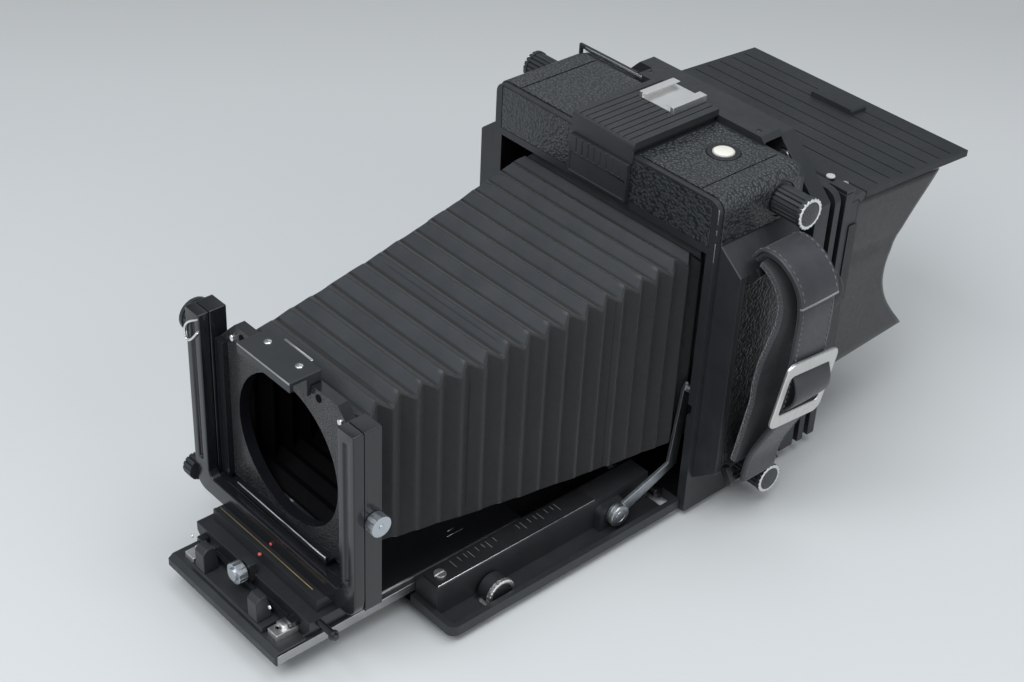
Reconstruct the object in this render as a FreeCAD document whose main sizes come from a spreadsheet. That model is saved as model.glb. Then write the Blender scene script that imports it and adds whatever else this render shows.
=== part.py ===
import FreeCAD, Part
import math
import os
import re

import Sketcher
from FreeCAD import Placement, Rotation, Vector

# A folding metal field camera for 4 x 5 inch sheet film, standing open with its bellows drawn out.
# Millimetres. X runs to the camera's right side, Y runs to its back and Z runs up.
# The origin is the mouth of the tripod socket, in the middle of the base.

# Driving sizes, in millimetres and degrees. Each stands once in the sheet under its own name.
SIZES = {
    # Casing
    "body_width": 150, "body_depth": 57, "body_height": 176.5, "body_corner": 6,
    "body_wall": 5, "body_sill": 6, "body_head": 28,
    "base_width": 60, "base_length": 44, "base_thickness": 3, "base_corner": 5,
    "socket_radius": 4.1, "socket_depth": 8.5, "boss_radius": 8, "bore_clearance": 0.3,
    "running_clearance": 0.05, "part_gap": 0.3,
    # Leather covering
    "leather_thickness": 0.8, "leather_margin": 3, "leather_seam": 0.8, "top_seam_half": 60,
    "side_leather_drop": 22.2, "panel_width": 141, "panel_height": 22.5, "panel_margin": 1.5,
    # Ridged cover, catch and level on top
    "cover_width": 41.2, "cover_height": 6.8, "cover_lip": 10.7, "cover_plate": 3.4,
    "cover_proud": 0.8, "cover_neck": 2.4, "ridge_pitch": 4.1, "ridge_depth": 0.4, "ridge_width": 0.7,
    "catch_width": 39.2, "catch_height": 20.1, "catch_depth": 2.9, "catch_drop": 4.2,
    "catch_grip_height": 9.3, "badge_margin": 1.2, "badge_depth": 0.5,
    "shoe_width": 22.6, "shoe_length": 23, "shoe_height": 3.1, "shoe_slot": 18.6, "shoe_gap": 2,
    "shoe_floor": 0.8, "shoe_mouth": 13, "shoe_front": 34,
    "level_side": 43.8, "level_place": 35.1, "level_ring_radius": 8, "vial_radius": 5.4,
    "level_height": 1.1,
    # Side housings
    "housing_width": 14, "housing_front": 3.5, "housing_length": 47, "housing_low": 19.8,
    "housing_low_chamfer": 10.5, "housing_high": 154, "housing_high_chamfer": 10.9,
    "pad_margin": 4, "pad_recess": 1,
    # Rods and lock knobs of the back
    "rod_radius": 2.5, "rod_start": 12, "rod_high": 165, "rod_low": 11.5, "rod_half_high": 50,
    "rod_half_low": 64, "knob_place": 41.6, "knob_radius": 7.8, "knob_length": 18, "knob_stem": 2,
    "knob_stud": 1.2, "knob_flute": 0.8, "knob_flutes": 20, "small_flutes": 14, "knob_rim": 2,
    "guide_width": 9, "guide_height": 11, "cup_inner": 3.6, "cup_outer": 4.8, "cup_length": 3,
    "cup_clearance": 0.8,
    # Back
    "back_gap": 13.7, "back_thickness": 9.9, "back_low": 3, "back_bevel": 28, "film_width": 121,
    "film_height": 96, "film_level": 84, "trap_thickness": 3.8, "trap_inset": 6,
    "film_back_thickness": 4.1, "film_back_height": 149, "film_back_corner": 7, "film_slot": 5.3,
    "slot_stop": 4, "glass_frame_thickness": 5.2, "glass_thickness": 2, "glass_lap": 3,
    "glass_frame_inset": 1, "glass_frame_low": 2, "glass_frame_top": 147, "hood_frame_thickness": 5.2,
    "hood_half": 73.7, "hood_low": 37, "hood_high": 141, "hood_rail": 6, "spring_width": 6,
    "spring_length": 44, "spring_thickness": 0.6,
    "rear_bellows_half": 62.5, "rear_bellows_wall": 5, "rear_bellows_low": 16,
    "rear_bellows_high": 160, "rear_pleats": 2, "rear_pleat_depth": 2.5,
    "bridge_left": 36, "bridge_right": 50, "bridge_length": 13.5, "bridge_height": 3.5,
    "bridge_chamfer": 2.4, "bridge_clearance": 1, "bridge_lap": 1, "bar_length": 40, "bar_height": 2,
    "bar_width": 1.6, "bar_rise": 3.2,
    # Focusing hood
    "lid_length": 85, "lid_thickness": 3.4, "lid_pivot": 142, "lid_slope": 3.4,
    "lid_groove_pitch": 9.9, "lid_grooves": 7, "lid_groove_width": 0.8, "lid_groove_depth": 0.5,
    "lid_groove_start": 11,
    "tab_width": 28, "tab_length": 12, "tab_height": 3, "tab_place": 63.2, "pin_radius": 1.3,
    "knuckle_radius": 2.6, "flap_length": 54, "flap_thickness": 1.6, "flap_pivot": 41,
    "flap_inset": 5, "flap_pin_radius": 1, "cloth_thickness": 1.2, "cloth_half": 71.5,
    "bracket_width": 11, "bracket_thickness": 1.6,
    # Bed
    "bed_half": 72.5, "bed_length": 147, "bed_lift": 1, "bed_height": 5.5, "bed_floor": 1.2,
    "bed_rim": 3, "bed_corner": 4.5, "bed_start": 1.2, "hinge_place": 3.5, "hinge_level": 4,
    "hinge_radius": 2.5, "lug_width": 8, "lug_half": 56, "bed_lug_half": 47.3, "bed_floor_end": 7.5,
    "rail_inner": 42.4, "rail_outer": 57.5, "rail_top": 19, "rail_front": 144, "rail_rear": 9,
    "rail_lip": 1.4, "rail_lip_low": 12.5, "rail_lip_high": 15, "rail_top_inner": 45,
    "scale_thickness": 0.6, "scale_margin": 1, "screw_radius": 3, "screw_height": 0.9,
    "strut_place": 36, "strut_level": 10.5, "strut_bend_place": 0.5, "strut_bend_level": 23.5,
    "strut_top_place": 5.5, "strut_top_level": 67.5, "strut_width": 6, "strut_thickness": 1.7,
    "strut_face": 62.3, "disc_radius": 5.8, "disc_thickness": 2, "strut_boss_length": 18,
    "strut_boss_top": 15, "stud_radius": 1.8, "strut_slot_drop": 7.5, "strut_slot_reach": 4.8,
    "strut_slot_width": 5,
    # Focusing drive
    "shaft_place": 113, "shaft_level": 5, "shaft_radius": 1.6, "gear_module": 0.5, "pinion_teeth": 14,
    "pinion_width": 8, "rack_teeth": 52, "rack_width": 7, "focus_travel": 60, "focus_knob_start": 59,
    "focus_knob_length": 6.5, "focus_knob_radius": 7.4, "focus_rim_radius": 8, "focus_rim_length": 2,
    "focus_rim_wall": 1.8, "rim_teeth": 20,
    # Track
    "track_half": 42, "track_front": 221, "track_length": 145, "track_top": 13.2,
    "track_thickness": 3, "side_rail_width": 3.5, "side_rail_low": 7.2, "side_rail_high": 12.2,
    "end_plate_length": 15.5, "end_plate_low": 8.4, "end_plate_top": 14.4, "end_lip": 1.5,
    "label_width": 50, "label_length": 8, "label_depth": 0.6,
    "stop_half": 32.5, "stop_width": 7, "stop_place": 217, "stop_length": 12, "stop_height": 3.4,
    "stop_slot": 2,
    # Front standard
    "stand_front": 205, "stand_rear": 176, "stand_half": 44, "stand_height": 10.5, "stand_foot": 3,
    "stand_neck": 40.2, "stand_foot_reach": 14, "carriage_half": 40, "carriage_height": 6,
    "carriage_front": 198,
    "scale_bar_height": 0.2, "scale_bar_width": 1.4,
    "grip_half": 20.5, "grip_width": 7, "grip_length": 8, "grip_height": 13, "grip_taper": 2.2,
    "front_knob_radius": 5.2, "front_knob_length": 4.5, "front_knob_level": 27.5,
    "front_knob_shaft": 1.5, "front_knob_post": 3.2, "lock_bar_half": 35, "lock_bar_height": 3,
    "lock_bar_depth": 1.6, "lock_bar_reach": 3, "lever_length": 13, "lever_radius": 1.7,
    "frame_half": 61, "frame_front": 193, "frame_layer": 5.4, "frame_post": 11,
    "frame_top": 131, "frame_sill": 10, "frame_round": 8, "swing_foot_half": 35,
    "swing_foot_height": 2.6, "frame_slot_width": 3, "frame_slot_depth": 1.2, "swing_pin_radius": 4,
    "rise_layer": 9, "rise_sill": 6,
    "lens_level": 82.5, "lens_half": 49.2, "lens_low": 42, "lens_top": 129, "lens_front": 183,
    "lens_thickness": 5.5, "lens_hole": 36.6, "lens_chamfer": 12, "lens_rib": 6, "lens_rib_depth": 3,
    "lip_half": 33.7, "lip_depth": 5, "lip_height": 1.4, "lip_plate": 3.4,
    "lock_half": 19.2, "lock_front": 194, "lock_thickness": 2, "lock_top": 134.7,
    "lock_hook": 3, "lens_lock_drop": 5,
    "tilt_pin_radius": 2.5, "tilt_knob_radius": 5.2, "tilt_knob_length": 5, "tilt_place": 182.6,
    "rise_knob_radius": 8.5, "rise_knob_length": 8, "rise_knob_level": 118,
    "swing_knob_radius": 6, "swing_knob_length": 6, "swing_knob_level": 37,
    # Front bellows
    "bellows_front_half": 50.5, "bellows_rear_half": 58.5, "bellows_front_gap": 0.4,
    "bellows_rear_place": 45, "bellows_rear_level": 86.5, "bellows_pleats": 23,
    "bellows_pleat_depth": 2.4, "bellows_wall": 1.2, "bellows_corner": 6.5, "bellows_tip": 2,
    "bellows_frame": 3, "bellows_lap": 4,
    # Hand strap
    "strap_width": 25, "strap_place": 25, "strap_thickness": 3, "strap_pad_width": 38, "strap_bow": 27,
    "strap_draw": 3.6, "pad_bow": 21, "strap_pad_thickness": 4, "anchor_radius": 2, "anchor_high": 146,
    "anchor_low": 27, "anchor_reach": 4.5, "anchor_length": 34, "anchor_foot": 3, "anchor_lap": 0.5,
    "buckle_width": 35, "buckle_height": 36, "buckle_bar": 5.5, "buckle_side": 3.5,
    "buckle_thickness": 1.4, "buckle_level": 90, "buckle_turn": 5,
}

# Places and sizes that follow from the driving sizes.
FOLLOWING = {
    "front_face": "-body_depth / 2",
    "back_face": "body_depth / 2",
    "body_half": "body_width / 2",
    "body_under": "base_thickness",
    "body_top": "base_thickness + body_height",
    "cavity_half": "body_width / 2 - body_wall",
    "cavity_low": "base_thickness + body_sill",
    "cavity_high": "base_thickness + body_height - body_head",
    "cover_top": "base_thickness + body_height + cover_height",
    "housing_face": "body_width / 2 + housing_width",
    "knob_line": "-body_depth / 2 + knob_place",
    "rod_top_line": "base_thickness + rod_high",
    "rod_low_line": "base_thickness + rod_low",
    "rod_first": "-body_depth / 2 + rod_start",
    "back_front": "body_depth / 2 + back_gap",
    "back_rear": "body_depth / 2 + back_gap + back_thickness",
    "rod_last": "body_depth / 2 + back_gap + 1.8",
    "film_centre": "base_thickness + film_level",
    "film_back_front": "body_depth / 2 + back_gap + back_thickness + trap_thickness",
    "film_back_rear": "film_back_front + film_back_thickness",
    "glass_front": "film_back_rear + film_slot",
    "glass_rear": "glass_front + glass_frame_thickness",
    "hood_rear": "glass_rear + hood_frame_thickness",
    "hood_top": "body_under + hood_high",
    "lid_line": "hood_rear + knuckle_radius",
    "lid_level": "base_thickness + lid_pivot",
    "flap_line": "hood_rear - flap_inset + knuckle_radius",
    "flap_level": "base_thickness + flap_pivot",
    "bed_under": "base_thickness + bed_lift",
    "bed_base": "base_thickness + bed_lift + bed_floor",
    "bed_rim_top": "base_thickness + bed_lift + bed_height",
    "bed_front": "-body_depth / 2 - bed_length",
    "bed_rear": "-body_depth / 2 - bed_start",
    "hinge_line": "-body_depth / 2 - hinge_place",
    "hinge_height": "base_thickness + hinge_level",
    "rail_height": "base_thickness + rail_top",
    "strut_line": "-body_depth / 2 - strut_place",
    "strut_height": "base_thickness + strut_level",
    "strut_end_line": "-body_depth / 2 + strut_top_place",
    "strut_end_height": "base_thickness + strut_top_level",
    "shaft_line": "-body_depth / 2 - shaft_place",
    "shaft_height": "base_thickness + shaft_level",
    "pitch_radius": "gear_module * pinion_teeth / 2",
    "track_end": "-body_depth / 2 - track_front",
    "track_tail": "-body_depth / 2 - track_front + track_length",
    "track_face": "base_thickness + track_top",
    "end_plate_face": "base_thickness + end_plate_top",
    "stand_low": "track_face + part_gap",
    "foot_low": "end_plate_face + part_gap",
    "stand_high": "stand_low + stand_height",
    "stand_first": "-body_depth / 2 - stand_front",
    "stand_last": "-body_depth / 2 - stand_rear",
    "carriage_high": "stand_high + part_gap + carriage_height",
    "frame_first": "-body_depth / 2 - frame_front",
    "frame_second": "-body_depth / 2 - frame_front + frame_layer",
    "frame_base": "carriage_high + part_gap",
    "frame_peak": "base_thickness + frame_top",
    "foot_top": "frame_base + swing_foot_height",
    "sill_top": "frame_base + frame_sill",
    "rise_first": "frame_second + part_gap",
    "rise_last": "frame_second + part_gap + rise_layer",
    "rise_low": "foot_top + part_gap",
    "lens_centre": "base_thickness + lens_level",
    "lens_first": "-body_depth / 2 - lens_front",
    "lens_last": "-body_depth / 2 - lens_front + lens_thickness",
    "tilt_line": "-body_depth / 2 - tilt_place",
    "bellows_first": "lens_last + bellows_front_gap",
    "bellows_last": "-body_depth / 2 + bellows_rear_place",
    "strap_line": "-body_depth / 2 + strap_place",
    "swing_line": "(frame_second + rise_last) / 2",
    "housing_top_edge": "body_under + housing_high - housing_high_chamfer",
    "housing_low_edge": "body_under + housing_low + housing_low_chamfer",
    "anchor_side": "body_width / 2 + housing_width + anchor_reach",
}

DOC = FreeCAD.newDocument("field_camera")
SHEET = DOC.addObject("Spreadsheet::Sheet", "Sizes")
NODES = {}


def fill_sheet():
    """Writes the driving sizes as plain numbers and what follows from them as formulas."""
    row = 1
    for name, value in SIZES.items():
        SHEET.set(f"A{row}", name)
        SHEET.set(f"B{row}", str(value))
        SHEET.setAlias(f"B{row}", name)
        row += 1
    for name, formula in FOLLOWING.items():
        SHEET.set(f"A{row}", name)
        SHEET.set(f"B{row}", "=" + formula)
        SHEET.setAlias(f"B{row}", name)
        row += 1
    DOC.recompute()


def size(name):
    """The number that the sheet holds under a name."""
    return float(SHEET.get(name))


def bind(thing, prop, formula):
    """Ties a property to the sheet: every name with an underscore is one of the sheet's."""
    text = re.sub(r"\b([a-z]+_[a-z_]+)\b", r"Sizes.\1", str(formula))
    thing.setExpression(prop, text)


def keep(thing, label):
    """Registers a finished sub-part under the name of its file."""
    thing.Label = label
    NODES[label] = thing
    return thing


def block(name, x, y, z):
    """A box between two values on each axis."""
    box = DOC.addObject("Part::Box", name)
    for side, axis, (low, high) in zip(("Length", "Width", "Height"), "xyz", (x, y, z)):
        bind(box, side, f"({high}) - ({low})")
        bind(box, f"Placement.Base.{axis}", low)
    return box


TURNS = {
    "x": Rotation(Vector(0, 1, 0), 90),
    "y": Rotation(Vector(1, 0, 0), -90),
    "z": Rotation(),
}


def stand_on(thing, axis, span, first, second):
    """Turns an upright piece to an axis. first and second place it on the other two, in X, Y, Z order."""
    thing.Placement = Placement(Vector(), TURNS[axis])
    others = [letter for letter in "xyz" if letter != axis]
    bind(thing, f"Placement.Base.{axis}", span[0])
    bind(thing, f"Placement.Base.{others[0]}", first)
    bind(thing, f"Placement.Base.{others[1]}", second)


def rod(name, axis, radius, span, first, second):
    """A cylinder along one axis."""
    bar = DOC.addObject("Part::Cylinder", name)
    bind(bar, "Radius", radius)
    bind(bar, "Height", f"({span[1]}) - ({span[0]})")
    stand_on(bar, axis, span, first, second)
    return bar


def drum(name, axis, radius, span, first, second, sides=24):
    """A small turned piece with flat sides, for what repeats and would cost many faces as a cylinder."""
    bar = DOC.addObject("Part::Prism", name)
    bar.Polygon = sides
    bind(bar, "Circumradius", radius)
    bind(bar, "Height", f"({span[1]}) - ({span[0]})")
    stand_on(bar, axis, span, first, second)
    return bar


def clear_hole(name, axis, radius, span, first, second):
    """A hole with twelve flat sides that stays clear of a rod of this radius."""
    return drum(name, axis, f"({radius}) / 0.96", span, first, second, 12)


def cut(name, base, *tools):
    """base with every tool taken out of it."""
    tool = tools[0] if len(tools) == 1 else join(name + "_tools", *tools)
    result = DOC.addObject("Part::Cut", name)
    result.Base = base
    result.Tool = tool
    return result


def join(name, *pieces):
    """The pieces as one, or side by side where they don't touch."""
    result = DOC.addObject("Part::MultiFuse", name)
    result.Shapes = list(pieces)
    result.Refine = True
    return result


def common(name, *pieces):
    """What the pieces share."""
    result = DOC.addObject("Part::MultiCommon", name)
    result.Shapes = list(pieces)
    return result


def group(name, *pieces):
    """Separate solids that share one node."""
    result = DOC.addObject("Part::Compound", name)
    result.Links = list(pieces)
    return result


def outline(sketch, points):
    """A closed outline of straight lines, each corner tied to the sheet."""
    count = len(points)
    corners = [Vector(math.cos(2 * math.pi * i / count),
                      math.sin(2 * math.pi * i / count)) for i in range(count)]
    for i in range(count):
        sketch.addGeometry(Part.LineSegment(corners[i], corners[(i + 1) % count]))
    for i in range(count):
        sketch.addConstraint(Sketcher.Constraint("Coincident", i, 2, (i + 1) % count, 1))
    for i, (across, up) in enumerate(points):
        for kind, formula in (("DistanceX", across), ("DistanceY", up)):
            index = sketch.addConstraint(Sketcher.Constraint(kind, -1, 1, i, 1, 1.0))
            bind(sketch, f"Constraints[{index}]", formula)


def origin_plane(body, role):
    return next(f for f in body.Origin.OriginFeatures if f.Role == role)


def prism(name, plane, points, span):
    """An outline in XY, XZ or YZ, padded between two values on the third axis."""
    body = DOC.addObject("PartDesign::Body", name)
    sketch = body.newObject("Sketcher::SketchObject", name + "_outline")
    sketch.AttachmentSupport = [(origin_plane(body, plane + "_Plane"), "")]
    sketch.MapMode = "FlatFace"
    outline(sketch, points)
    pad = body.newObject("PartDesign::Pad", name + "_pad")
    pad.Profile = sketch
    bind(pad, "Length", f"({span[1]}) - ({span[0]})")
    # A pad on XZ runs towards -Y, the other two run towards their plus side.
    axis, start = {"XY": ("z", span[0]), "XZ": ("y", span[1]), "YZ": ("x", span[0])}[plane]
    bind(body, f"Placement.Base.{axis}", start)
    return body


def mirrored(name, source):
    """The same piece on the camera's other side."""
    result = DOC.addObject("Part::Mirroring", name)
    result.Source = source
    result.Normal = Vector(1, 0, 0)
    result.Base = Vector(0, 0, 0)
    return result


def rounded(name, base, radius, direction, wanted):
    """Rounds the straight edges that run along a direction and whose middle passes the test."""
    DOC.recompute()
    edges = []
    for index, edge in enumerate(base.Shape.Edges, 1):
        if not isinstance(edge.Curve, Part.Line):
            continue
        if abs(edge.tangentAt(edge.FirstParameter).dot(direction)) < 0.999:
            continue
        if wanted(edge.CenterOfMass):
            edges.append((index, radius, radius))
    result = DOC.addObject("Part::Fillet", name)
    result.Base = base
    result.Edges = edges
    return result


def fluted(name, axis, radius, span, first, second, flutes, depth):
    """A grip with a ring of lengthwise flutes and a flat between each two, as one body with a pattern."""
    body = DOC.addObject("PartDesign::Body", name)
    stand_on(body, axis, span, first, second)
    disc = body.newObject("Sketcher::SketchObject", name + "_disc")
    disc.AttachmentSupport = [(origin_plane(body, "XY_Plane"), "")]
    disc.MapMode = "FlatFace"
    count = int(size(flutes))
    turns = [2 * math.pi * i / count for i in range(count)]
    outline(disc,
            [(f"({radius}) * {math.cos(turn):.6f}",
              f"({radius}) * {math.sin(turn):.6f}") for turn in turns])
    pad = body.newObject("PartDesign::Pad", name + "_pad")
    pad.Profile = disc
    bind(pad, "Length", f"({span[1]}) - ({span[0]})")
    notch = body.newObject("Sketcher::SketchObject", name + "_notch")
    notch.AttachmentSupport = [(origin_plane(body, "XY_Plane"), "")]
    notch.MapMode = "FlatFace"
    outline(notch, (
        (f"({radius}) - ({depth})", "0"),
        (f"({radius}) + ({depth})", f"-1.4 * ({depth})"),
        (f"({radius}) + ({depth})", f"1.4 * ({depth})"),
    ))
    DOC.recompute()
    pocket = body.newObject("PartDesign::Pocket", name + "_pocket")
    pocket.Profile = notch
    pocket.Type = "ThroughAll"
    pocket.Reversed = True
    pattern = body.newObject("PartDesign::PolarPattern", name + "_pattern")
    pattern.Originals = [pocket]
    pattern.Axis = (origin_axis(body, "Z_Axis"), [""])
    pattern.Angle = 360
    pattern.Occurrences = count
    body.Tip = pattern
    return body


def origin_axis(body, role):
    return next(f for f in body.Origin.OriginFeatures if f.Role == role)


def feature(name, shape):
    """A sub-part whose form needs lofts or sweeps."""
    result = DOC.addObject("Part::Feature", name)
    result.Shape = shape
    return result


X_WAY = Vector(1, 0, 0)
Y_WAY = Vector(0, 1, 0)
Z_WAY = Vector(0, 0, 1)


def casing_blank(name, grow):
    """The casing's outside, grown by a skin, with its two long top edges rounded."""
    blank = block(
        name + "_blank",
        (f"-body_half - {grow}", f"body_half + {grow}"),
        ("front_face", "back_face"),
        ("body_under", f"body_top + {grow}"),
    )
    skin = size(grow) if grow != "0" else 0.0
    top = size("body_top") + skin
    return rounded(name, blank, size("body_corner") + skin, Y_WAY, lambda p: p.z > top - 1)


def make_casing():
    """The cast casing: open front and back, solid head, bores for the rods and their clamps."""
    shell = casing_blank("casing", "0")
    opening = block(
        "casing_opening",
        ("-cavity_half", "cavity_half"),
        ("front_face - 1", "back_face + 1"),
        ("cavity_low", "cavity_high"),
    )
    recess = block(
        "panel_recess",
        ("-panel_width / 2 - part_gap", "panel_width / 2 + part_gap"),
        ("front_face - 1", "front_face + leather_thickness"),
        ("body_top - panel_margin - panel_height - part_gap", "body_top - panel_margin + part_gap"),
    )
    boss = drum("boss_hole", "z", "boss_radius + bore_clearance", ("body_under - 1", "cavity_low + 1"),
                "0", "0")
    bores = []
    for side, sign in (("right", ""), ("left", "-")):
        bores.append(clear_hole(
            f"high_rod_bore_{side}", "y", "rod_radius + running_clearance",
            ("rod_first", "back_face + 1"), f"{sign}rod_half_high", "rod_top_line",
        ))
        for level, half, line in (("high", "rod_half_high", "rod_top_line"),
                                  ("low", "rod_half_low", "rod_low_line")):
            reach = (f"{half} + rod_radius + part_gap", "body_half + 1")
            span = reach if sign == "" else (f"-({reach[1]})", f"-({reach[0]})")
            bores.append(clear_hole(
                f"{level}_stem_bore_{side}", "x", "knob_stem + running_clearance", span, "knob_line", line,
            ))
    slots = [strut_slot("strut_slot_right")]
    slots.append(mirrored("strut_slot_left", slots[0]))
    walls = cut("body_walls", shell, opening, recess, boss, *slots)
    plate = prism("base_profile", "XY", (
        ("-base_width / 2 + base_corner", "-base_length / 2"),
        ("base_width / 2 - base_corner", "-base_length / 2"),
        ("base_width / 2", "-base_length / 2 + base_corner"),
        ("base_width / 2", "base_length / 2 - base_corner"),
        ("base_width / 2 - base_corner", "base_length / 2"),
        ("-base_width / 2 + base_corner", "base_length / 2"),
        ("-base_width / 2", "base_length / 2 - base_corner"),
        ("-base_width / 2", "-base_length / 2 + base_corner"),
    ), ("0", "body_under"))
    stem = drum("base_boss", "z", "boss_radius", ("0", "cavity_low"), "0", "0")
    socket = rod("base_socket", "z", "socket_radius", ("-1", "socket_depth"), "0", "0")
    keep(cut("base_plate_cut", join("base_body", plate, stem), socket), "base_plate")
    guides = []
    for side, span in (("right", ("cavity_half - guide_width", "cavity_half + 1")),
                       ("left", ("-cavity_half - 1", "-cavity_half + guide_width"))):
        guides.append(block(f"guide_{side}", span, ("knob_line - guide_height", "back_face"),
                            ("cavity_low - 1", "cavity_low + guide_height")))
    last = "bellows_last + part_gap + bellows_frame"
    frame = block("bellows_frame_block", ("-cavity_half - 1", "cavity_half + 1"),
                  ("bellows_last + part_gap", last),
                  ("cavity_low - 1", "cavity_high + 1"))
    edge = "(bellows_rear_half - bellows_lap)"
    level = "(body_under + bellows_rear_level)"
    hole = block("bellows_frame_hole", (f"-{edge}", edge), ("bellows_last - 1", f"{last} + 1"),
                 (f"{level} - {edge}", f"{level} + {edge}"))
    for side, sign in (("right", ""), ("left", "-")):
        bores.append(clear_hole(f"low_rod_bore_{side}", "y", "rod_radius + running_clearance",
                                ("rod_first", "back_face + 1"), f"{sign}rod_half_low", "rod_low_line"))
    body = join("body_cast", walls, *guides, cut("bellows_frame_cut", frame, hole))
    keep(cut("body_shell_cut", body, *bores), "body_shell")


def strut_slot(name):
    """The slot in the casing's inner wall that the strut's stud runs in as the bed drops."""
    wide = "strut_slot_width / 2"
    low_line = "strut_end_line - strut_slot_reach"
    low_height = "strut_end_height - strut_slot_drop"
    return prism(name, "YZ", (
        (f"strut_end_line - {wide}", f"strut_end_height + {wide}"),
        (f"{low_line} - {wide}", low_height),
        (f"{low_line} - {wide} / 2", f"{low_height} - {wide}"),
        (f"{low_line} + {wide}", f"{low_height} - {wide}"),
        (f"strut_end_line + {wide}", "strut_end_height"),
        (f"strut_end_line + {wide}", f"strut_end_height + {wide}"),
    ), ("cavity_half - 0.5", "cavity_half + 2.5"))


def make_leather():
    """Leather skins: front panel, two flat top pieces, and a piece round each top side edge."""
    panel = block("panel", ("-panel_width / 2", "panel_width / 2"),
                  ("front_face", "front_face + leather_thickness"),
                  ("body_top - panel_margin - panel_height", "body_top - panel_margin"))
    keep(panel, "front_leather_panel")
    tops = []
    for side, span in (
        ("right", ("cover_width / 2 + leather_seam", "top_seam_half")),
        ("left", ("-top_seam_half", "-cover_width / 2 - leather_seam")),
    ):
        tops.append(block(f"top_{side}", span,
                          ("front_face + leather_margin", "back_face - leather_margin"),
                          ("body_top", "body_top + leather_thickness")))
    well = drum("level_well", "z", "level_ring_radius + part_gap", ("body_top - 1", "body_top + 3"),
                "level_side", "front_face + level_place")
    keep(group("top_pair", cut("top_leather_cut", tops[0], well), tops[1]), "top_leather_panels")
    outer = casing_blank("skin_outer", "leather_thickness")
    inner = casing_blank("skin_inner", "0")
    skin = cut("skin", outer, inner)
    pieces = []
    for side, span in (
        ("right", ("top_seam_half + leather_seam", "body_half + 2")),
        ("left", ("-body_half - 2", "-top_seam_half - leather_seam")),
    ):
        zone = block(f"skin_zone_{side}", span,
                     ("front_face + leather_margin", "back_face - leather_margin"),
                     ("body_top - side_leather_drop", "body_top + 2"))
        piece = common(f"skin_{side}", skin, zone)
        holes = drum(f"skin_hole_{side}", "x", "knob_radius + 1", ("-body_half - 3", "body_half + 3"),
                     "knob_line", "rod_top_line")
        pieces.append(cut(f"skin_cut_{side}", piece, holes))
    keep(group("skin_pair", *pieces), "side_leather_panels")


def make_cover():
    """The ridged cover that hooks over the front edge, on its narrower neck."""
    half = "cover_width / 2"
    first = "front_face - cover_proud"
    profile = prism("cover_profile", "YZ", (
        (first, "cover_top - cover_lip"),
        ("front_face", "cover_top - cover_lip"),
        ("front_face", "cover_top - cover_plate"),
        ("back_face - 1", "cover_top - cover_plate"),
        ("back_face - 1", "cover_top"),
        (first, "cover_top"),
    ), (f"-{half}", half))
    edge_line = size("front_face") - size("cover_proud")
    plate = rounded("cover_rounded", profile, 2.0, X_WAY,
                    lambda p: p.z > size("cover_top") - 0.5 and abs(p.y - edge_line) < 0.5)
    neck = block("cover_neck_block", (f"-{half} + cover_neck", f"{half} - cover_neck"),
                 ("front_face", "back_face - 1"), ("body_top", "cover_top - cover_plate"))
    grooves = []
    count = int(size("cover_width") / size("ridge_pitch")) - 1
    for i in range(count):
        middle = f"({i} - {(count - 1) / 2}) * ridge_pitch"
        grooves.append(block(f"ridge_top_{i}",
                             (f"{middle} - ridge_width / 2", f"{middle} + ridge_width / 2"),
                             (f"{first} - 1", "back_face"), ("cover_top - ridge_depth", "cover_top + 1")))
    keep(cut("cover_cut", join("cover_body", plate, neck), *grooves), "ridged_cover")


def make_catch():
    """The bed's release catch: a ridged finger strip above a bare recessed badge place."""
    half = "catch_width / 2"
    low = "body_top - catch_drop - catch_height"
    high = "body_top - catch_drop"
    first = "front_face - catch_depth"
    body = block("catch_block", (f"-{half}", half), (first, "front_face - part_gap"), (low, high))
    place = block("badge_place", (f"-{half} + badge_margin", f"{half} - badge_margin"),
                  (f"{first} - 1", f"{first} + badge_depth"),
                  (f"{low} + badge_margin", f"{high} - catch_grip_height"))
    notches = []
    count = int(size("catch_width") / size("ridge_pitch")) - 1
    for i in range(count):
        middle = f"({i} - {(count - 1) / 2}) * ridge_pitch"
        notches.append(block(f"catch_ridge_{i}",
                             (f"{middle} - ridge_width / 2", f"{middle} + ridge_width / 2"),
                             (f"{first} - 1", f"{first} + ridge_depth"),
                             (f"{high} - catch_grip_height + 1", f"{high} + 1")))
    keep(cut("catch_cut", body, place, *notches), "release_catch")


def make_shoe():
    """The accessory shoe: a floor and two rails whose lips face each other, with a stop at the front."""
    half = "shoe_width / 2"
    first = "front_face + shoe_front"
    last = f"{first} + shoe_length"
    blank = block("shoe_blank", (f"-{half}", half), (first, last), ("cover_top", "cover_top + shoe_height"))
    channel = block("shoe_channel", ("-shoe_slot / 2", "shoe_slot / 2"), (f"{first} - 1", f"{last} + 1"),
                    ("cover_top + shoe_floor", "cover_top + shoe_floor + shoe_gap"))
    mouth = block("shoe_mouth_block", ("-shoe_mouth / 2", "shoe_mouth / 2"),
                  (f"{first} - 1", f"{last} + 1"),
                  ("cover_top + shoe_floor", "cover_top + shoe_height + 1"))
    keep(cut("shoe_cut", blank, channel, mouth), "accessory_shoe")


def make_level():
    """The round level: a black ring with a domed vial in it."""
    line = "front_face + level_place"
    ring = drum("level_ring_drum", "z", "level_ring_radius", ("body_top", "body_top + level_height"),
                "level_side", line)
    hole = drum("level_hole", "z", "vial_radius + running_clearance", ("body_top - 1", "body_top + 3"),
                "level_side", line)
    keep(cut("level_ring_cut", ring, hole), "level_ring")
    keep(drum("vial", "z", "vial_radius", ("body_top", "body_top + level_height + 0.3"), "level_side",
              line), "level_vial")


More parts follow.
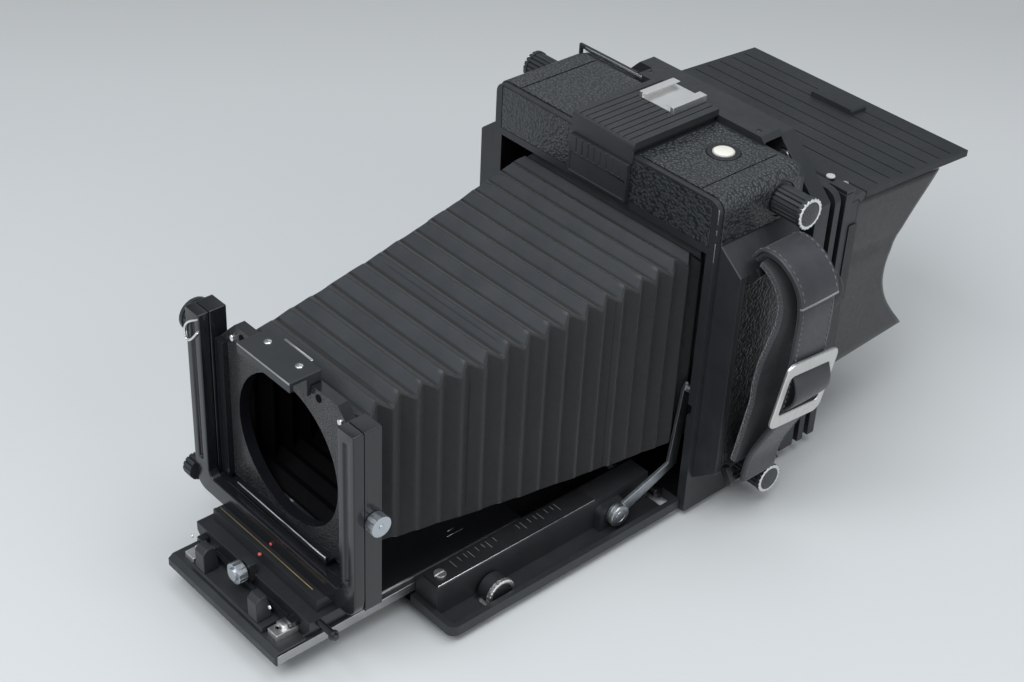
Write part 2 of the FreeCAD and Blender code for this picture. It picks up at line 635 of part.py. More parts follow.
def make_housings():
    """The chamfered housing on each side, with a leather pad let into its face."""
    low = "body_under + housing_low"
    high = "body_under + housing_high"
    first = "front_face + housing_front"
    last = f"{first} + housing_length"
    right = prism("housing_profile", "XZ", (
        ("body_half", low),
        ("housing_face", f"{low} + housing_low_chamfer"),
        ("housing_face", f"{high} - housing_high_chamfer"),
        ("body_half", high),
    ), (first, last))
    pad_low = f"{low} + housing_low_chamfer + pad_margin"
    pad_high = f"{high} - housing_high_chamfer - pad_margin"
    recess = block("pad_recess_block", ("housing_face - pad_recess", "housing_face + 1"),
                   (f"{first} + pad_margin", f"{last} - pad_margin"), (pad_low, pad_high))
    right_housing = cut("housing_cut", right, recess)
    pad = block("pad_block", ("housing_face - pad_recess", "housing_face - pad_recess + leather_thickness"),
                (f"{first} + pad_margin + part_gap", f"{last} - pad_margin - part_gap"),
                (f"{pad_low} + part_gap", f"{pad_high} - part_gap"))
    keep(group("housing_pair", right_housing, mirrored("housing_mirror", right_housing)), "side_housings")
    keep(group("pad_pair", pad, mirrored("pad_mirror", pad)), "side_pads")


def make_bridge():
    """The raised bridge behind the cover, its side bar, and the screws that hold them."""
    first = "back_face - bridge_lap"
    last = f"{first} + bridge_length"
    base = "body_top + bridge_clearance"
    peak = "body_top + bridge_height"
    body = prism("bridge_profile", "XZ", (
        ("-bridge_left", base),
        ("bridge_right", base),
        ("bridge_right - bridge_chamfer", peak),
        ("-bridge_left + bridge_chamfer", peak),
    ), (first, last))
    foot = block("bridge_foot", ("-bridge_left", "bridge_right"), (first, "back_face"), ("body_top", base))
    beam = block("bar_beam", ("-bridge_left - bar_length", "-bridge_left + 1"),
                 (first, f"{first} + bar_width"),
                 ("body_top + bar_rise - bar_height", "body_top + bar_rise"))
    leg = block("bar_leg", ("-bridge_left - bar_length", "-bridge_left - bar_length + bar_width"),
                (first, f"{first} + bar_width"), ("body_top - 2.5", "body_top + bar_rise"))
    keep(join("bridge_body", body, foot, beam, leg), "rear_bridge")


def make_knobs():
    """Four fluted lock knobs with a bright rim, each on a stem that reaches its rod."""
    for side, sign in (("right", 1), ("left", -1)):
        for level, half, line in (("upper", "rod_half_high", "rod_top_line"),
                                  ("lower", "rod_half_low", "rod_low_line")):
            name = f"{level}_{side}"
            near, far = "body_half + part_gap", "body_half + knob_length"
            rim = "body_half + knob_length - knob_rim"
            inside = f"{half} + rod_radius + part_gap"
            spans = {"grip": (near, rim), "rim": (rim, far), "stem": (inside, near)}
            if sign < 0:
                spans = {key: (f"-({b})", f"-({a})") for key, (a, b) in spans.items()}
            grip = fluted(f"grip_{name}", "x", "knob_radius - 0.4", spans["grip"], "knob_line", line,
                          "knob_flutes", "knob_flute")
            stem = rod(f"stem_{name}", "x", "knob_stem", spans["stem"], "knob_line", line)
            ring = drum(f"rim_{name}", "x", "knob_radius", spans["rim"], "knob_line", line)
            keep(join(f"knob_body_{name}", grip, ring, stem), f"lock_knob_{name}")


def hexagon(radius, first, second):
    """The corners of a nut, as formulas."""
    points = []
    for across, along in ((1, 0), (0.5, 0.866), (-0.5, 0.866), (-1, 0), (-0.5, -0.866), (0.5, -0.866)):
        points.append((f"{first} + {radius} * ({across})", f"{second} + {radius} * ({along})"))
    return points


def make_rods():
    """The four rods that carry the back, and the swivel cups at their ends."""
    bars, cups = [], []
    for side, sign in (("right", ""), ("left", "-")):
        for half, line, level in (("rod_half_high", "rod_top_line", "high"),
                                  ("rod_half_low", "rod_low_line", "low")):
            bars.append(drum(f"back_rod_{level}_{side}", "y", "rod_radius", ("rod_first + 1", "rod_last"),
                             f"{sign}{half}", line, 16))
            outer = prism(f"cup_outer_{level}_{side}", "XZ", hexagon("cup_outer", f"{sign}{half}", line),
                          ("back_front + 0.8", "back_front + 0.8 + cup_length"))
            inner = drum(f"cup_inner_{level}_{side}", "y", "cup_inner",
                         ("back_front - 1", "back_front + 2 + cup_length"), f"{sign}{half}", line, 12)
            cups.append(cut(f"cup_{level}_{side}", outer, inner))
    keep(group("rod_group", *bars), "back_rods")
    keep(group("cup_group", *cups), "swivel_cups")


def window(name, half, height, y):
    """A film window, centred on the film's level."""
    return block(name, (f"-({half})", half), y,
                 (f"film_centre - ({height}) / 2", f"film_centre + ({height}) / 2"))


def make_back():
    """The back: bevelled frame, light trap, square film back with its slot, glass, springs and frames."""
    low = "body_under + back_low"
    frame = prism("back_profile", "XZ", (
        ("-body_half", low),
        ("body_half", low),
        ("body_half", "body_top - back_bevel"),
        ("body_half - back_bevel", "body_top"),
        ("-body_half + back_bevel", "body_top"),
        ("-body_half", "body_top - back_bevel"),
    ), ("back_front", "back_rear"))
    holes = []
    for side, sign in (("right", ""), ("left", "-")):
        for half, line, level in (("rod_half_high", "rod_top_line", "high"),
                                  ("rod_half_low", "rod_low_line", "low")):
            holes.append(drum(f"cup_hole_{level}_{side}", "y", "cup_outer + cup_clearance",
                              ("back_front - 1", "back_rear + 1"), f"{sign}{half}", line, 16))
    opening = window("back_window", "film_width / 2", "film_height", ("back_front - 1", "back_rear + 1"))
    top = f"{low} + film_back_height"
    trap = block("trap_block", ("-body_half + trap_inset", "body_half - trap_inset"),
                 ("back_rear", "film_back_front"),
                 (f"{low} + trap_inset + 10", f"{top} - trap_inset"))
    through = window("trap_window", "film_width / 2", "film_height",
                     ("back_rear - 1", "film_back_front + 1"))
    keep(cut("back_frame_cut", join("back_frame_body", frame, trap), opening, through, *holes),
         "back_frame")
    plate = block("film_back_block", ("-body_half", "body_half"), ("film_back_front", "film_back_rear"),
                  (low, top))
    plate = rounded("film_back_rounded", plate, size("film_back_corner"), Y_WAY,
                    lambda p: p.z > size("film_centre"))
    stop = block("slot_stop_block", ("-body_half", "-body_half + slot_stop"),
                 ("film_back_rear", "glass_front - part_gap"),
                 (f"{low} + 10", f"{top} - 20"))
    keep(cut("film_back_cut", join("film_back_body", plate, stop),
             window("film_window", "film_width / 2", "film_height",
                    ("film_back_front - 1", "film_back_rear + 1"))),
         "film_back")
    half = "body_half - glass_frame_inset"
    frame = block("glass_frame_block", (f"-({half})", half), ("glass_front", "glass_rear"),
                  ("body_under + glass_frame_low", "body_under + glass_frame_top"))
    seat = window("glass_seat", "film_width / 2 + glass_lap", "film_height + 2 * glass_lap",
                  ("glass_front + 1.2", "glass_front + 1.2 + glass_thickness"))
    through = window("glass_window", "film_width / 2", "film_height", ("glass_front - 1", "glass_rear + 1"))
    behind = window("glass_behind", "film_width / 2 + glass_lap", "film_height + 2 * glass_lap",
                    ("glass_front + 1.2", "glass_rear + 1"))
    keep(cut("glass_frame_cut", frame, seat, through, behind), "glass_frame")
    keep(window("glass_plate", "film_width / 2 + glass_lap - part_gap",
                "film_height + 2 * glass_lap - 2 * part_gap",
                ("glass_front + 1.2", "glass_front + 1.2 + glass_thickness")), "ground_glass")
    strips = []
    for side, sign in (("right", 1), ("left", -1)):
        edges = ("hood_half + part_gap", "hood_half + part_gap + spring_thickness")
        span = edges if sign > 0 else ("-hood_half - part_gap - spring_thickness", "-hood_half - part_gap")
        strips.append(block(f"spring_{side}", span, ("glass_rear", "glass_rear + spring_width"),
                            ("film_centre", "film_centre + spring_length")))
    keep(group("spring_group", *strips), "back_springs")


def make_hood():
    """The folding hood: frame, grooved lid with its tab, bottom flap, side cloths, pins and brackets."""
    low, high = "body_under + hood_low", "hood_top"
    frame = block("hood_frame_block", ("-hood_half", "hood_half"), ("glass_rear", "hood_rear"), (low, high))
    inside = block("hood_frame_window", ("-hood_half + hood_rail", "hood_half - hood_rail"),
                   ("glass_rear - 1", "hood_rear + 1"), (f"{low} + hood_rail - 3", f"{high} - hood_rail"))
    holes = rod("flap_pin_holes", "x", "flap_pin_radius + running_clearance",
                ("-hood_half + hood_rail / 2 - part_gap", "hood_half - hood_rail / 2 + part_gap"),
                "flap_line", "flap_level")
    keep(cut("hood_frame_cut", frame, inside, holes), "hood_frame")
    make_lid()
    half = "hood_half - hood_rail - part_gap"
    flap = block("flap_block", (f"-({half})", half), ("flap_line", "flap_line + flap_length"),
                 ("flap_level - flap_thickness / 2", "flap_level + flap_thickness / 2"))
    pin = rod("flap_pin", "x", "flap_pin_radius",
              ("-hood_half + hood_rail / 2", "hood_half - hood_rail / 2"),
              "flap_line", "flap_level")
    keep(join("flap_body", flap, pin), "hood_bottom_flap")
    rear = "hood_rear + part_gap"
    side = prism("cloth_profile", "YZ", (
        (rear, f"{low} + 1"),
        (f"{rear} + 57", "flap_level + 4"),
        (f"{rear} + 34", "flap_level + 62"),
        (f"{rear} + 63", "lid_level - 9.5"),
        (rear, "lid_level - 5"),
    ), ("cloth_half", "cloth_half + cloth_thickness"))
    keep(group("cloth_pair", side, mirrored("cloth_mirror", side)), "hood_side_cloths")


def make_lid():
    """The lid slopes a little down to the back, and turns about a pin above the hood frame."""
    half = "hood_half"
    plate = block("lid_block", (f"-{half}", half), ("0", "lid_length"),
                  ("-lid_thickness / 2", "lid_thickness / 2"))
    slot = block("lid_slot", ("-hood_half + bracket_width", "hood_half - bracket_width"), ("-1", "3.5"),
                 ("-lid_thickness", "lid_thickness"))
    notches = [block(f"lid_notch_{s}", span, ("-1", "3.2"), ("-lid_thickness", "lid_thickness"))
               for s, span in (("right", ("hood_half - bracket_width - 1", "hood_half + 1")),
                               ("left", ("-hood_half - 1", "-hood_half + bracket_width + 1")))]
    grooves = []
    for i in range(int(size("lid_grooves"))):
        place = f"lid_length - lid_groove_start - {i} * lid_groove_pitch"
        grooves.append(block(f"lid_groove_{i}", ("-hood_half + 2.5", "hood_half - 2.5"),
                             (f"{place} - lid_groove_width", place),
                             ("lid_thickness / 2 - lid_groove_depth", "lid_thickness")))
    knuckle = rod("lid_knuckle", "x", "knuckle_radius",
                  ("-hood_half + bracket_width + 0.3", "hood_half - bracket_width - 0.3"), "0", "0")
    web = block("lid_web", ("-hood_half + bracket_width + 0.3", "hood_half - bracket_width - 0.3"),
                ("0", "4"),
                ("-lid_thickness / 2", "lid_thickness / 2"))
    bore = rod("lid_bore", "x", "pin_radius + running_clearance", ("-hood_half", "hood_half"), "0", "0")
    tab = block("lid_tab", ("-tab_width / 2", "tab_width / 2"), ("tab_place", "tab_place + tab_length"),
                ("lid_thickness / 2 - 0.2", "lid_thickness / 2 + tab_height"))
    tab = rounded("lid_tab_rounded", tab, 1.5, Y_WAY, lambda p: p.z > size("lid_thickness"))
    lid = cut("lid_cut",
              join("lid_body", cut("lid_plate_cut", plate, slot, *notches, *grooves), knuckle, web, tab),
              bore)
    lid.Placement = Placement(Vector(), Rotation(X_WAY, -size("lid_slope")))
    bind(lid, "Placement.Base.y", "lid_line")
    bind(lid, "Placement.Base.z", "lid_level")
    keep(lid, "hood_lid")
    pin = rod("lid_pin", "x", "pin_radius", ("-hood_half", "hood_half"), "lid_line", "lid_level")
    ears = []
    for side, span in (
        ("right", ("hood_half - bracket_width", "hood_half")),
        ("left", ("-hood_half", "-hood_half + bracket_width")),
    ):
        cap = "body_under + glass_frame_top + part_gap"
        strap = block(f"ear_top_{side}", span, ("glass_front + part_gap", "glass_rear + bracket_thickness"),
                      (cap, f"{cap} + bracket_thickness"))
        drop = block(f"ear_drop_{side}", span, ("glass_rear", "glass_rear + bracket_thickness"),
                     ("hood_top + part_gap", f"{cap} + bracket_thickness"))
        eye = rod(f"ear_eye_{side}", "x", "knuckle_radius", span, "lid_line", "lid_level")
        neck = block(f"ear_neck_{side}", span, ("glass_rear", "lid_line"),
                     ("hood_top + part_gap", "lid_level + knuckle_radius"))
        ears.append(join(f"ear_{side}", strap, drop, eye, neck))
    keep(join("ears_body", *ears, pin), "hood_brackets")


def pleated_tube(ends, pleats, depth, corner, tip):
    """A closed pleated tube with flat panels. Each end is (place, half width, low, high).

    Ridges have small corner cuts and the folds between them deep ones, as a leather bellows does.
    """
    (y0, half0, low0, high0), (y1, half1, low1, high1) = ends

    def ring(y, half, low, high, cut_corner):
        points = (
            (half, low + cut_corner), (half, high - cut_corner), (half - cut_corner, high),
            (cut_corner - half, high),
            (-half, high - cut_corner), (-half, low + cut_corner), (cut_corner - half, low),
            (half - cut_corner, low),
        )
        return [Vector(x, y, z) for x, z in points]

    rings = []
    steps = 2 * pleats
    for i in range(steps + 1):
        share = i / steps
        fold = depth if i % 2 else 0.0
        half = half0 + (half1 - half0) * share - fold
        low = low0 + (low1 - low0) * share + fold
        high = high0 + (high1 - high0) * share - fold
        rings.append(ring(y0 + (y1 - y0) * share, half, low, high, corner if i % 2 else tip))
    faces = [Part.Face(Part.makePolygon(end + end[:1])) for end in (rings[0], rings[-1])]
    for near, far in zip(rings, rings[1:]):
        for k in range(len(near)):
            other = (k + 1) % len(near)
            panel = [near[k], near[other], far[other], far[k]]
            faces.append(Part.Face(Part.makePolygon(panel + panel[:1])))
    shell = Part.makeShell(faces)
    shell.sewShape()
    solid = Part.makeSolid(shell)
    if solid.Volume < 0:
        solid.reverse()
    return solid


def bellows_form(ends, pleats, depth, wall):
    """A pleated tube hollowed by the same tube, a wall's thickness smaller."""
    corner, tip = size("bellows_corner"), size("bellows_tip")
    outer = pleated_tube(ends, pleats, depth, corner, tip)
    thin = [(y, half - wall, low + wall, high - wall) for y, half, low, high in ends]
    return outer.cut(pleated_tube(thin, pleats, depth, corner, tip))


def make_bellows():
    """The tapered front bellows and the short bellows behind the casing, both hollow and pleated."""
    centre, rear_centre = size("lens_centre"), size("body_under") + size("bellows_rear_level")
    front, back = size("bellows_front_half"), size("bellows_rear_half")
    ends = ((size("bellows_last"), back, rear_centre - back, rear_centre + back),
            (size("bellows_first"), front, centre - front, centre + front))
    form = bellows_form(ends, int(size("bellows_pleats")), size("bellows_pleat_depth"),
                        size("bellows_wall"))
    keep(feature("front_bellows_form", form), "front_bellows")
    low, high = size("body_under") + size("rear_bellows_low"), size("body_under") + size("rear_bellows_high")
    half, last = size("rear_bellows_half"), size("back_front") - size("part_gap")
    ends = ((size("back_face"), half, low, high), (last, half, low, high))
    form = bellows_form(ends, int(size("rear_pleats")), size("rear_pleat_depth"), size("rear_bellows_wall"))
    keep(feature("rear_bellows_form", form), "rear_bellows")


def make_bed():
    """The drop bed: a tray with a raised rim, its hinge, and the knob and pinion windows in its floor."""
    blank = block("bed_blank", ("-bed_half", "bed_half"), ("bed_front", "bed_rear"),
                  ("bed_under", "bed_rim_top"))
    limit = size("bed_front") + 2
    blank = rounded("bed_rounded", blank, size("bed_corner"), Z_WAY, lambda p: p.y < limit)
    well = block("bed_well", ("-bed_half + bed_rim", "bed_half - bed_rim"),
                 ("bed_front + bed_rim", "bed_rear + 1"),
                 ("bed_base", "bed_rim_top + 1"))
    well = rounded("bed_well_rounded", well, size("bed_corner") - size("bed_rim"), Z_WAY,
                   lambda p: p.y < limit + 5)
    mouth = block("bed_track_mouth", ("-rail_inner", "rail_inner"),
                  ("bed_front - 1", "bed_front + bed_rim + 1"),
                  ("bed_base", "bed_rim_top + 1"))
    heel = block("bed_heel", ("-bed_half + bed_rim", "bed_half - bed_rim"),
                 ("front_face - bed_floor_end", "bed_rear + 1"),
                 ("bed_under - 1", "bed_rim_top + 1"))
    slots = []
    for side, span in (
        ("right", ("focus_knob_start - 1", "focus_knob_start + focus_knob_length + focus_rim_length + 1")),
        ("left", ("-focus_knob_start - focus_knob_length - focus_rim_length - 1", "-focus_knob_start + 1")),
        ("middle", ("-pinion_width / 2 - 1", "pinion_width / 2 + 1")),
    ):
        reach = "(pitch_radius + gear_module + 1)" if side == "middle" else "(focus_rim_radius + 1)"
        slots.append(block(f"bed_window_{side}", span, (f"shaft_line - {reach}", f"shaft_line + {reach}"),
                           ("bed_under - 1", "bed_base + 1")))
    tray = cut("bed_tray_cut", blank, well, mouth, heel, *slots)
    lugs = []
    for side, sign in (("right", ""), ("left", "-")):
        knuckle = drum(f"bed_knuckle_{side}", "x", "hinge_radius",
                       (f"{sign}bed_lug_half - lug_width / 2", f"{sign}bed_lug_half + lug_width / 2"),
                       "hinge_line", "hinge_height", 16)
        leaf = block(f"bed_leaf_{side}",
                     (f"{sign}bed_lug_half - lug_width / 2", f"{sign}bed_lug_half + lug_width / 2"),
                     ("front_face - bed_floor_end - 2", "hinge_line"),
                     ("bed_under", "bed_under + bed_floor"))
        lugs += [knuckle, leaf]
    bore = clear_hole("bed_bore", "x", "pin_radius + running_clearance",
                      ("-bed_lug_half - lug_width", "bed_lug_half + lug_width"), "hinge_line",
                      "hinge_height")
    keep(cut("bed_cut", join("bed_body", tray, *lugs), bore), "bed_tray")
    ears = []
    for side, sign in (("right", ""), ("left", "-")):
        span = (f"{sign}lug_half - lug_width / 2", f"{sign}lug_half + lug_width / 2")
        eye = drum(f"body_eye_{side}", "x", "hinge_radius", span, "hinge_line", "hinge_height", 16)
        root = block(f"body_root_{side}", span, ("hinge_line", "front_face"),
                     ("hinge_height - hinge_radius", "hinge_height + hinge_radius"))
        ears.append(join(f"body_lug_{side}", eye, root))
    pin = rod("hinge_pin_rod", "x", "pin_radius", ("-lug_half - lug_width / 2", "lug_half + lug_width / 2"),
              "hinge_line", "hinge_height")
    keep(join("hinge_body", *ears, pin), "bed_hinge")


def make_rails():
    """The raised rail on each side of the bed, grooved for the track, with a scale plate and a screw."""
    right = prism("rail_profile", "XZ", (
        ("rail_inner", "bed_base"),
        ("rail_outer", "bed_base"),
        ("rail_outer", "rail_height"),
        ("rail_top_inner", "rail_height"),
        ("rail_inner - rail_lip", "body_under + rail_lip_high"),
        ("rail_inner - rail_lip", "body_under + rail_lip_low"),
        ("rail_inner", "body_under + rail_lip_low"),
    ), ("front_face - rail_front", "front_face - rail_rear"))
    bore = rod("rail_bore", "x", "shaft_radius + running_clearance", ("rail_inner - 1", "rail_outer + 1"),
               "shaft_line", "shaft_height")
    boss = block("strut_boss_block", ("rail_outer", "strut_face - part_gap"),
                 ("strut_line - strut_boss_length / 2", "strut_line + strut_boss_length / 2"),
                 ("bed_base", "body_under + strut_boss_top"))
    middle, top = size("strut_line"), size("body_under") + size("strut_boss_top")
    boss = rounded("strut_boss_rounded", boss, 4.0, X_WAY,
                   lambda p: p.z > top - 1 and abs(p.y - middle) > 1)
    pivot = rod("strut_pivot", "x", "stud_radius", ("rail_outer", "strut_face + strut_thickness"),
                "strut_line", "strut_height")
    body = join("rail_body", cut("rail_cut", right, bore), boss, pivot)
    keep(group("rail_pair", body, mirrored("rail_mirror", body)), "bed_rails")
    plate = block("scale_block", ("rail_top_inner + scale_margin", "rail_outer - scale_margin / 2"),
                  ("front_face - rail_front + scale_margin", "strut_line - strut_boss_length / 2"),
                  ("rail_height", "rail_height + scale_thickness"))
    keep(group("scale_pair", plate, mirrored("scale_mirror", plate)), "scale_plates")
    screws = [strut_caps()]
    for side, sign in (("right", ""), ("left", "-")):
        middle = f"{sign}(rail_top_inner + rail_outer) / 2"
        head = drum(f"rail_screw_{side}", "z", "screw_radius",
                    ("rail_height + scale_thickness", "rail_height + scale_thickness + screw_height"),
                    middle, "front_face - rail_front + 7", 16)
        slot = block(f"rail_screw_slot_{side}", (f"{middle} - 0.4", f"{middle} + 0.4"),
                     ("front_face - rail_front", "front_face - rail_front + 12"),
                     ("rail_height + scale_thickness + screw_height - 0.7", "rail_height + 5"))
        screws.append(cut(f"rail_screw_cut_{side}", head, slot))
    keep(group("bed_screw_group", *screws), "bed_screws")


def make_struts():
    """Each strut runs from its disc on the bed to a stud that rides in the casing's slot."""
    half = "strut_width / 2"
    bend_line, bend_height = "front_face + strut_bend_place", "body_under + strut_bend_level"
    arm = prism("strut_arm", "YZ", (
        (f"strut_line - {half} / 2", f"strut_height + {half}"),
        (f"strut_line + {half}", f"strut_height - {half}"),
        (f"{bend_line} + {half}", f"{bend_height} - {half} / 2"),
        (f"strut_end_line + {half} * 0.8", f"strut_end_height"),
        (f"strut_end_line", f"strut_end_height + {half}"),
        (f"strut_end_line - {half} * 0.8", f"strut_end_height"),
        (f"{bend_line} - {half}", f"{bend_height} + {half} / 2"),
    ), ("strut_face", "strut_face + strut_thickness"))
    disc = drum("strut_eye", "x", "disc_radius", ("strut_face", "strut_face + strut_thickness"),
                "strut_line", "strut_height")
    stud = drum("strut_stud", "x", "stud_radius", ("strut_face", "cavity_half + 1.5"), "strut_end_line",
                "strut_end_height", 12)
    eye = clear_hole("strut_hole", "x", "stud_radius + running_clearance",
                     ("strut_face - 1", "strut_face + strut_thickness + 1"), "strut_line", "strut_height")
    right = cut("strut_cut", join("strut_body", arm, disc, stud), eye)
    keep(group("strut_pair", right, mirrored("strut_mirror", right)), "bed_struts")


def strut_caps():
    """The round nut over each strut's pivot, with its two key pits."""
    face = "strut_face + strut_thickness"
    cap = drum("strut_cap", "x", "disc_radius", (face, f"{face} + disc_thickness"), "strut_line",
               "strut_height")
    pits = []
    for name, shift in (("high", "+ 3"), ("low", "- 3")):
        pits.append(drum(f"strut_pit_{name}", "x", "0.7",
                         (f"{face} + disc_thickness - 0.8", f"{face} + disc_thickness + 1"),
                         f"strut_line {shift}", f"strut_height {shift}", 6))
    right = cut("strut_cap_cut", cap, *pits)
    return group("strut_cap_pair", right, mirrored("strut_cap_mirror", right))


def make_drive():
    """The focusing drive: cross shaft with its pinion, a knob and a toothed rim at each end."""
    shaft = rod("shaft_rod", "x", "shaft_radius", ("-focus_knob_start", "focus_knob_start"), "shaft_line",
                "shaft_height")
    keep(join("shaft_body", shaft, pinion()), "pinion_shaft")
    near, far = "focus_knob_start", "focus_knob_start + focus_knob_length"
    edge = f"{far} + focus_rim_length"
    grip = drum("focus_grip", "x", "focus_knob_radius", (near, far), "shaft_line", "shaft_height")
    rim = fluted("focus_rim", "x", "focus_rim_radius", (far, edge), "shaft_line", "shaft_height",
                 "rim_teeth", "knob_flute")
    dish = drum("focus_dish", "x", "focus_rim_radius - focus_rim_wall", (f"{edge} - 1", f"{edge} + 1"),
                "shaft_line", "shaft_height")
    knob = join("focus_knob_body", grip, cut("focus_rim_cut", rim, dish))
    keep(group("focus_knob_pair", knob, mirrored("focus_knob_mirror", knob)), "focus_knobs")


def pinion():
    """Straight-sided teeth on the shaft, placed so that a gap faces up at rest."""
    body = DOC.addObject("PartDesign::Body", "pinion_body")
    body.Placement = Placement(Vector(), TURNS["x"])
    bind(body, "Placement.Base.x", "-pinion_width / 2")
    bind(body, "Placement.Base.y", "shaft_line")
    bind(body, "Placement.Base.z", "shaft_height")
    core = body.newObject("Sketcher::SketchObject", "pinion_core")
    core.AttachmentSupport = [(origin_plane(body, "XY_Plane"), "")]
    core.MapMode = "FlatFace"
    core.addGeometry(Part.Circle(Vector(), Vector(0, 0, 1), 3))
    core.addConstraint(Sketcher.Constraint("Coincident", 0, 3, -1, 1))
    core.addConstraint(Sketcher.Constraint("Radius", 0, 3.0))
    bind(core, "Constraints[1]", "pitch_radius + gear_module")
    pad = body.newObject("PartDesign::Pad", "pinion_pad")
    pad.Profile = core
    bind(pad, "Length", "pinion_width")
    gap = body.newObject("Sketcher::SketchObject", "pinion_gap")
    gap.AttachmentSupport = [(origin_plane(body, "XY_Plane"), "")]
    gap.MapMode = "FlatFace"
    # The local X axis points down in the camera, so the first gap is cut towards minus X, which is up.
    outline(gap, (
        ("-pitch_radius + 1.25 * gear_module", "-0.55 * gear_module"),
        ("-pitch_radius - 1.4 * gear_module", "-1.3 * gear_module"),
        ("-pitch_radius - 1.4 * gear_module", "1.3 * gear_module"),
        ("-pitch_radius + 1.25 * gear_module", "0.55 * gear_module"),
    ))
    DOC.recompute()
    pocket = body.newObject("PartDesign::Pocket", "pinion_pocket")
    pocket.Profile = gap
    pocket.Type = "ThroughAll"
    pocket.Reversed = True
    pattern = body.newObject("PartDesign::PolarPattern", "pinion_pattern")
    pattern.Originals = [pocket]
    pattern.Axis = (origin_axis(body, "Z_Axis"), [""])
    pattern.Angle = 360
    pattern.Occurrences = int(size("pinion_teeth"))
    body.Tip = pattern
    return body


def rack():
    """A bar under the track with straight-sided teeth in mesh with the pinion, one tooth above its shaft."""
    module, line = size("gear_module"), size("shaft_line")
    pitch = size("shaft_height") + size("pitch_radius")
    step = math.pi * module
    tip, root = pitch - module, pitch + 1.25 * module
    top = size("track_face") - size("track_thickness")
    travel = size("focus_travel")
    first_tooth = -math.ceil((travel + 6 * module) / step)
    points = []
    for i in range(int(size("rack_teeth"))):
        middle = line + (first_tooth + i) * step
        points += [(middle - 0.31 * step, root), (middle - 0.09 * step, tip),
                   (middle + 0.09 * step, tip), (middle + 0.31 * step, root)]
    points = [(points[0][0] - step, root)] + points + [(points[-1][0] + step, root)]
    points += [(points[-1][0], top), (points[0][0], top)]
    corners = [Vector(0, y, z) for y, z in points]
    face = Part.Face(Part.makePolygon(corners + corners[:1]))
    bar = face.extrude(Vector(size("rack_width"), 0, 0))
    bar.translate(Vector(-size("rack_width") / 2, 0, 0))
    return feature("rack_form", bar)


def make_track():
    """The focusing track: plate, rack, bright side rails, end plate with a bare label place, and stops."""
    rail = "track_half - side_rail_width"
    plate = block("track_plate_block", (f"-({rail})", rail), ("track_end", "track_tail"),
                  ("track_face - track_thickness", "track_face"))
    keep(rack(), "focus_rack")
    rails = []
    for side, span in (("right", (rail, "track_half")), ("left", ("-track_half", f"-({rail})"))):
        rails.append(block(f"side_rail_{side}", span, ("track_end", "track_tail"),
                           ("body_under + side_rail_low", "body_under + side_rail_high")))
    keep(join("track_body", plate, *rails), "track_plate")
    nose = prism("end_plate_profile", "YZ", (
        ("track_end - end_lip", "body_under + end_plate_low"),
        ("track_end", "body_under + end_plate_low - 2"),
        ("track_end", "track_face"),
        ("track_end + end_plate_length", "track_face"),
        ("track_end + end_plate_length", "end_plate_face"),
        ("track_end + 1.2", "end_plate_face"),
        ("track_end - end_lip", "end_plate_face - 2"),
    ), ("-track_half", "track_half"))
    label = block("label_place", ("-label_width / 2", "label_width / 2"),
                  ("track_end + 2.5", "track_end + 2.5 + label_length"),
                  ("end_plate_face - label_depth", "end_plate_face + 1"))
    keep(cut("end_plate_cut", nose, label), "track_end_plate")
    stops = []
    for side, sign in (("right", ""), ("left", "-")):
        first = "front_face - stop_place"
        body = block(f"stop_block_{side}",
                     (f"{sign}stop_half - stop_width / 2", f"{sign}stop_half + stop_width / 2"),
                     (first, f"{first} + stop_length"), ("end_plate_face", "end_plate_face + stop_height"))
        slot = block(f"stop_slot_{side}",
                     (f"{sign}stop_half - stop_slot / 2", f"{sign}stop_half + stop_slot / 2"),
                     (f"{first} + 3", f"{first} + 8"),
                     ("end_plate_face + stop_height - 1.2", "end_plate_face + 10"))
        stops.append(cut(f"stop_cut_{side}", body, slot))
    keep(group("stop_pair", *stops), "infinity_stops")


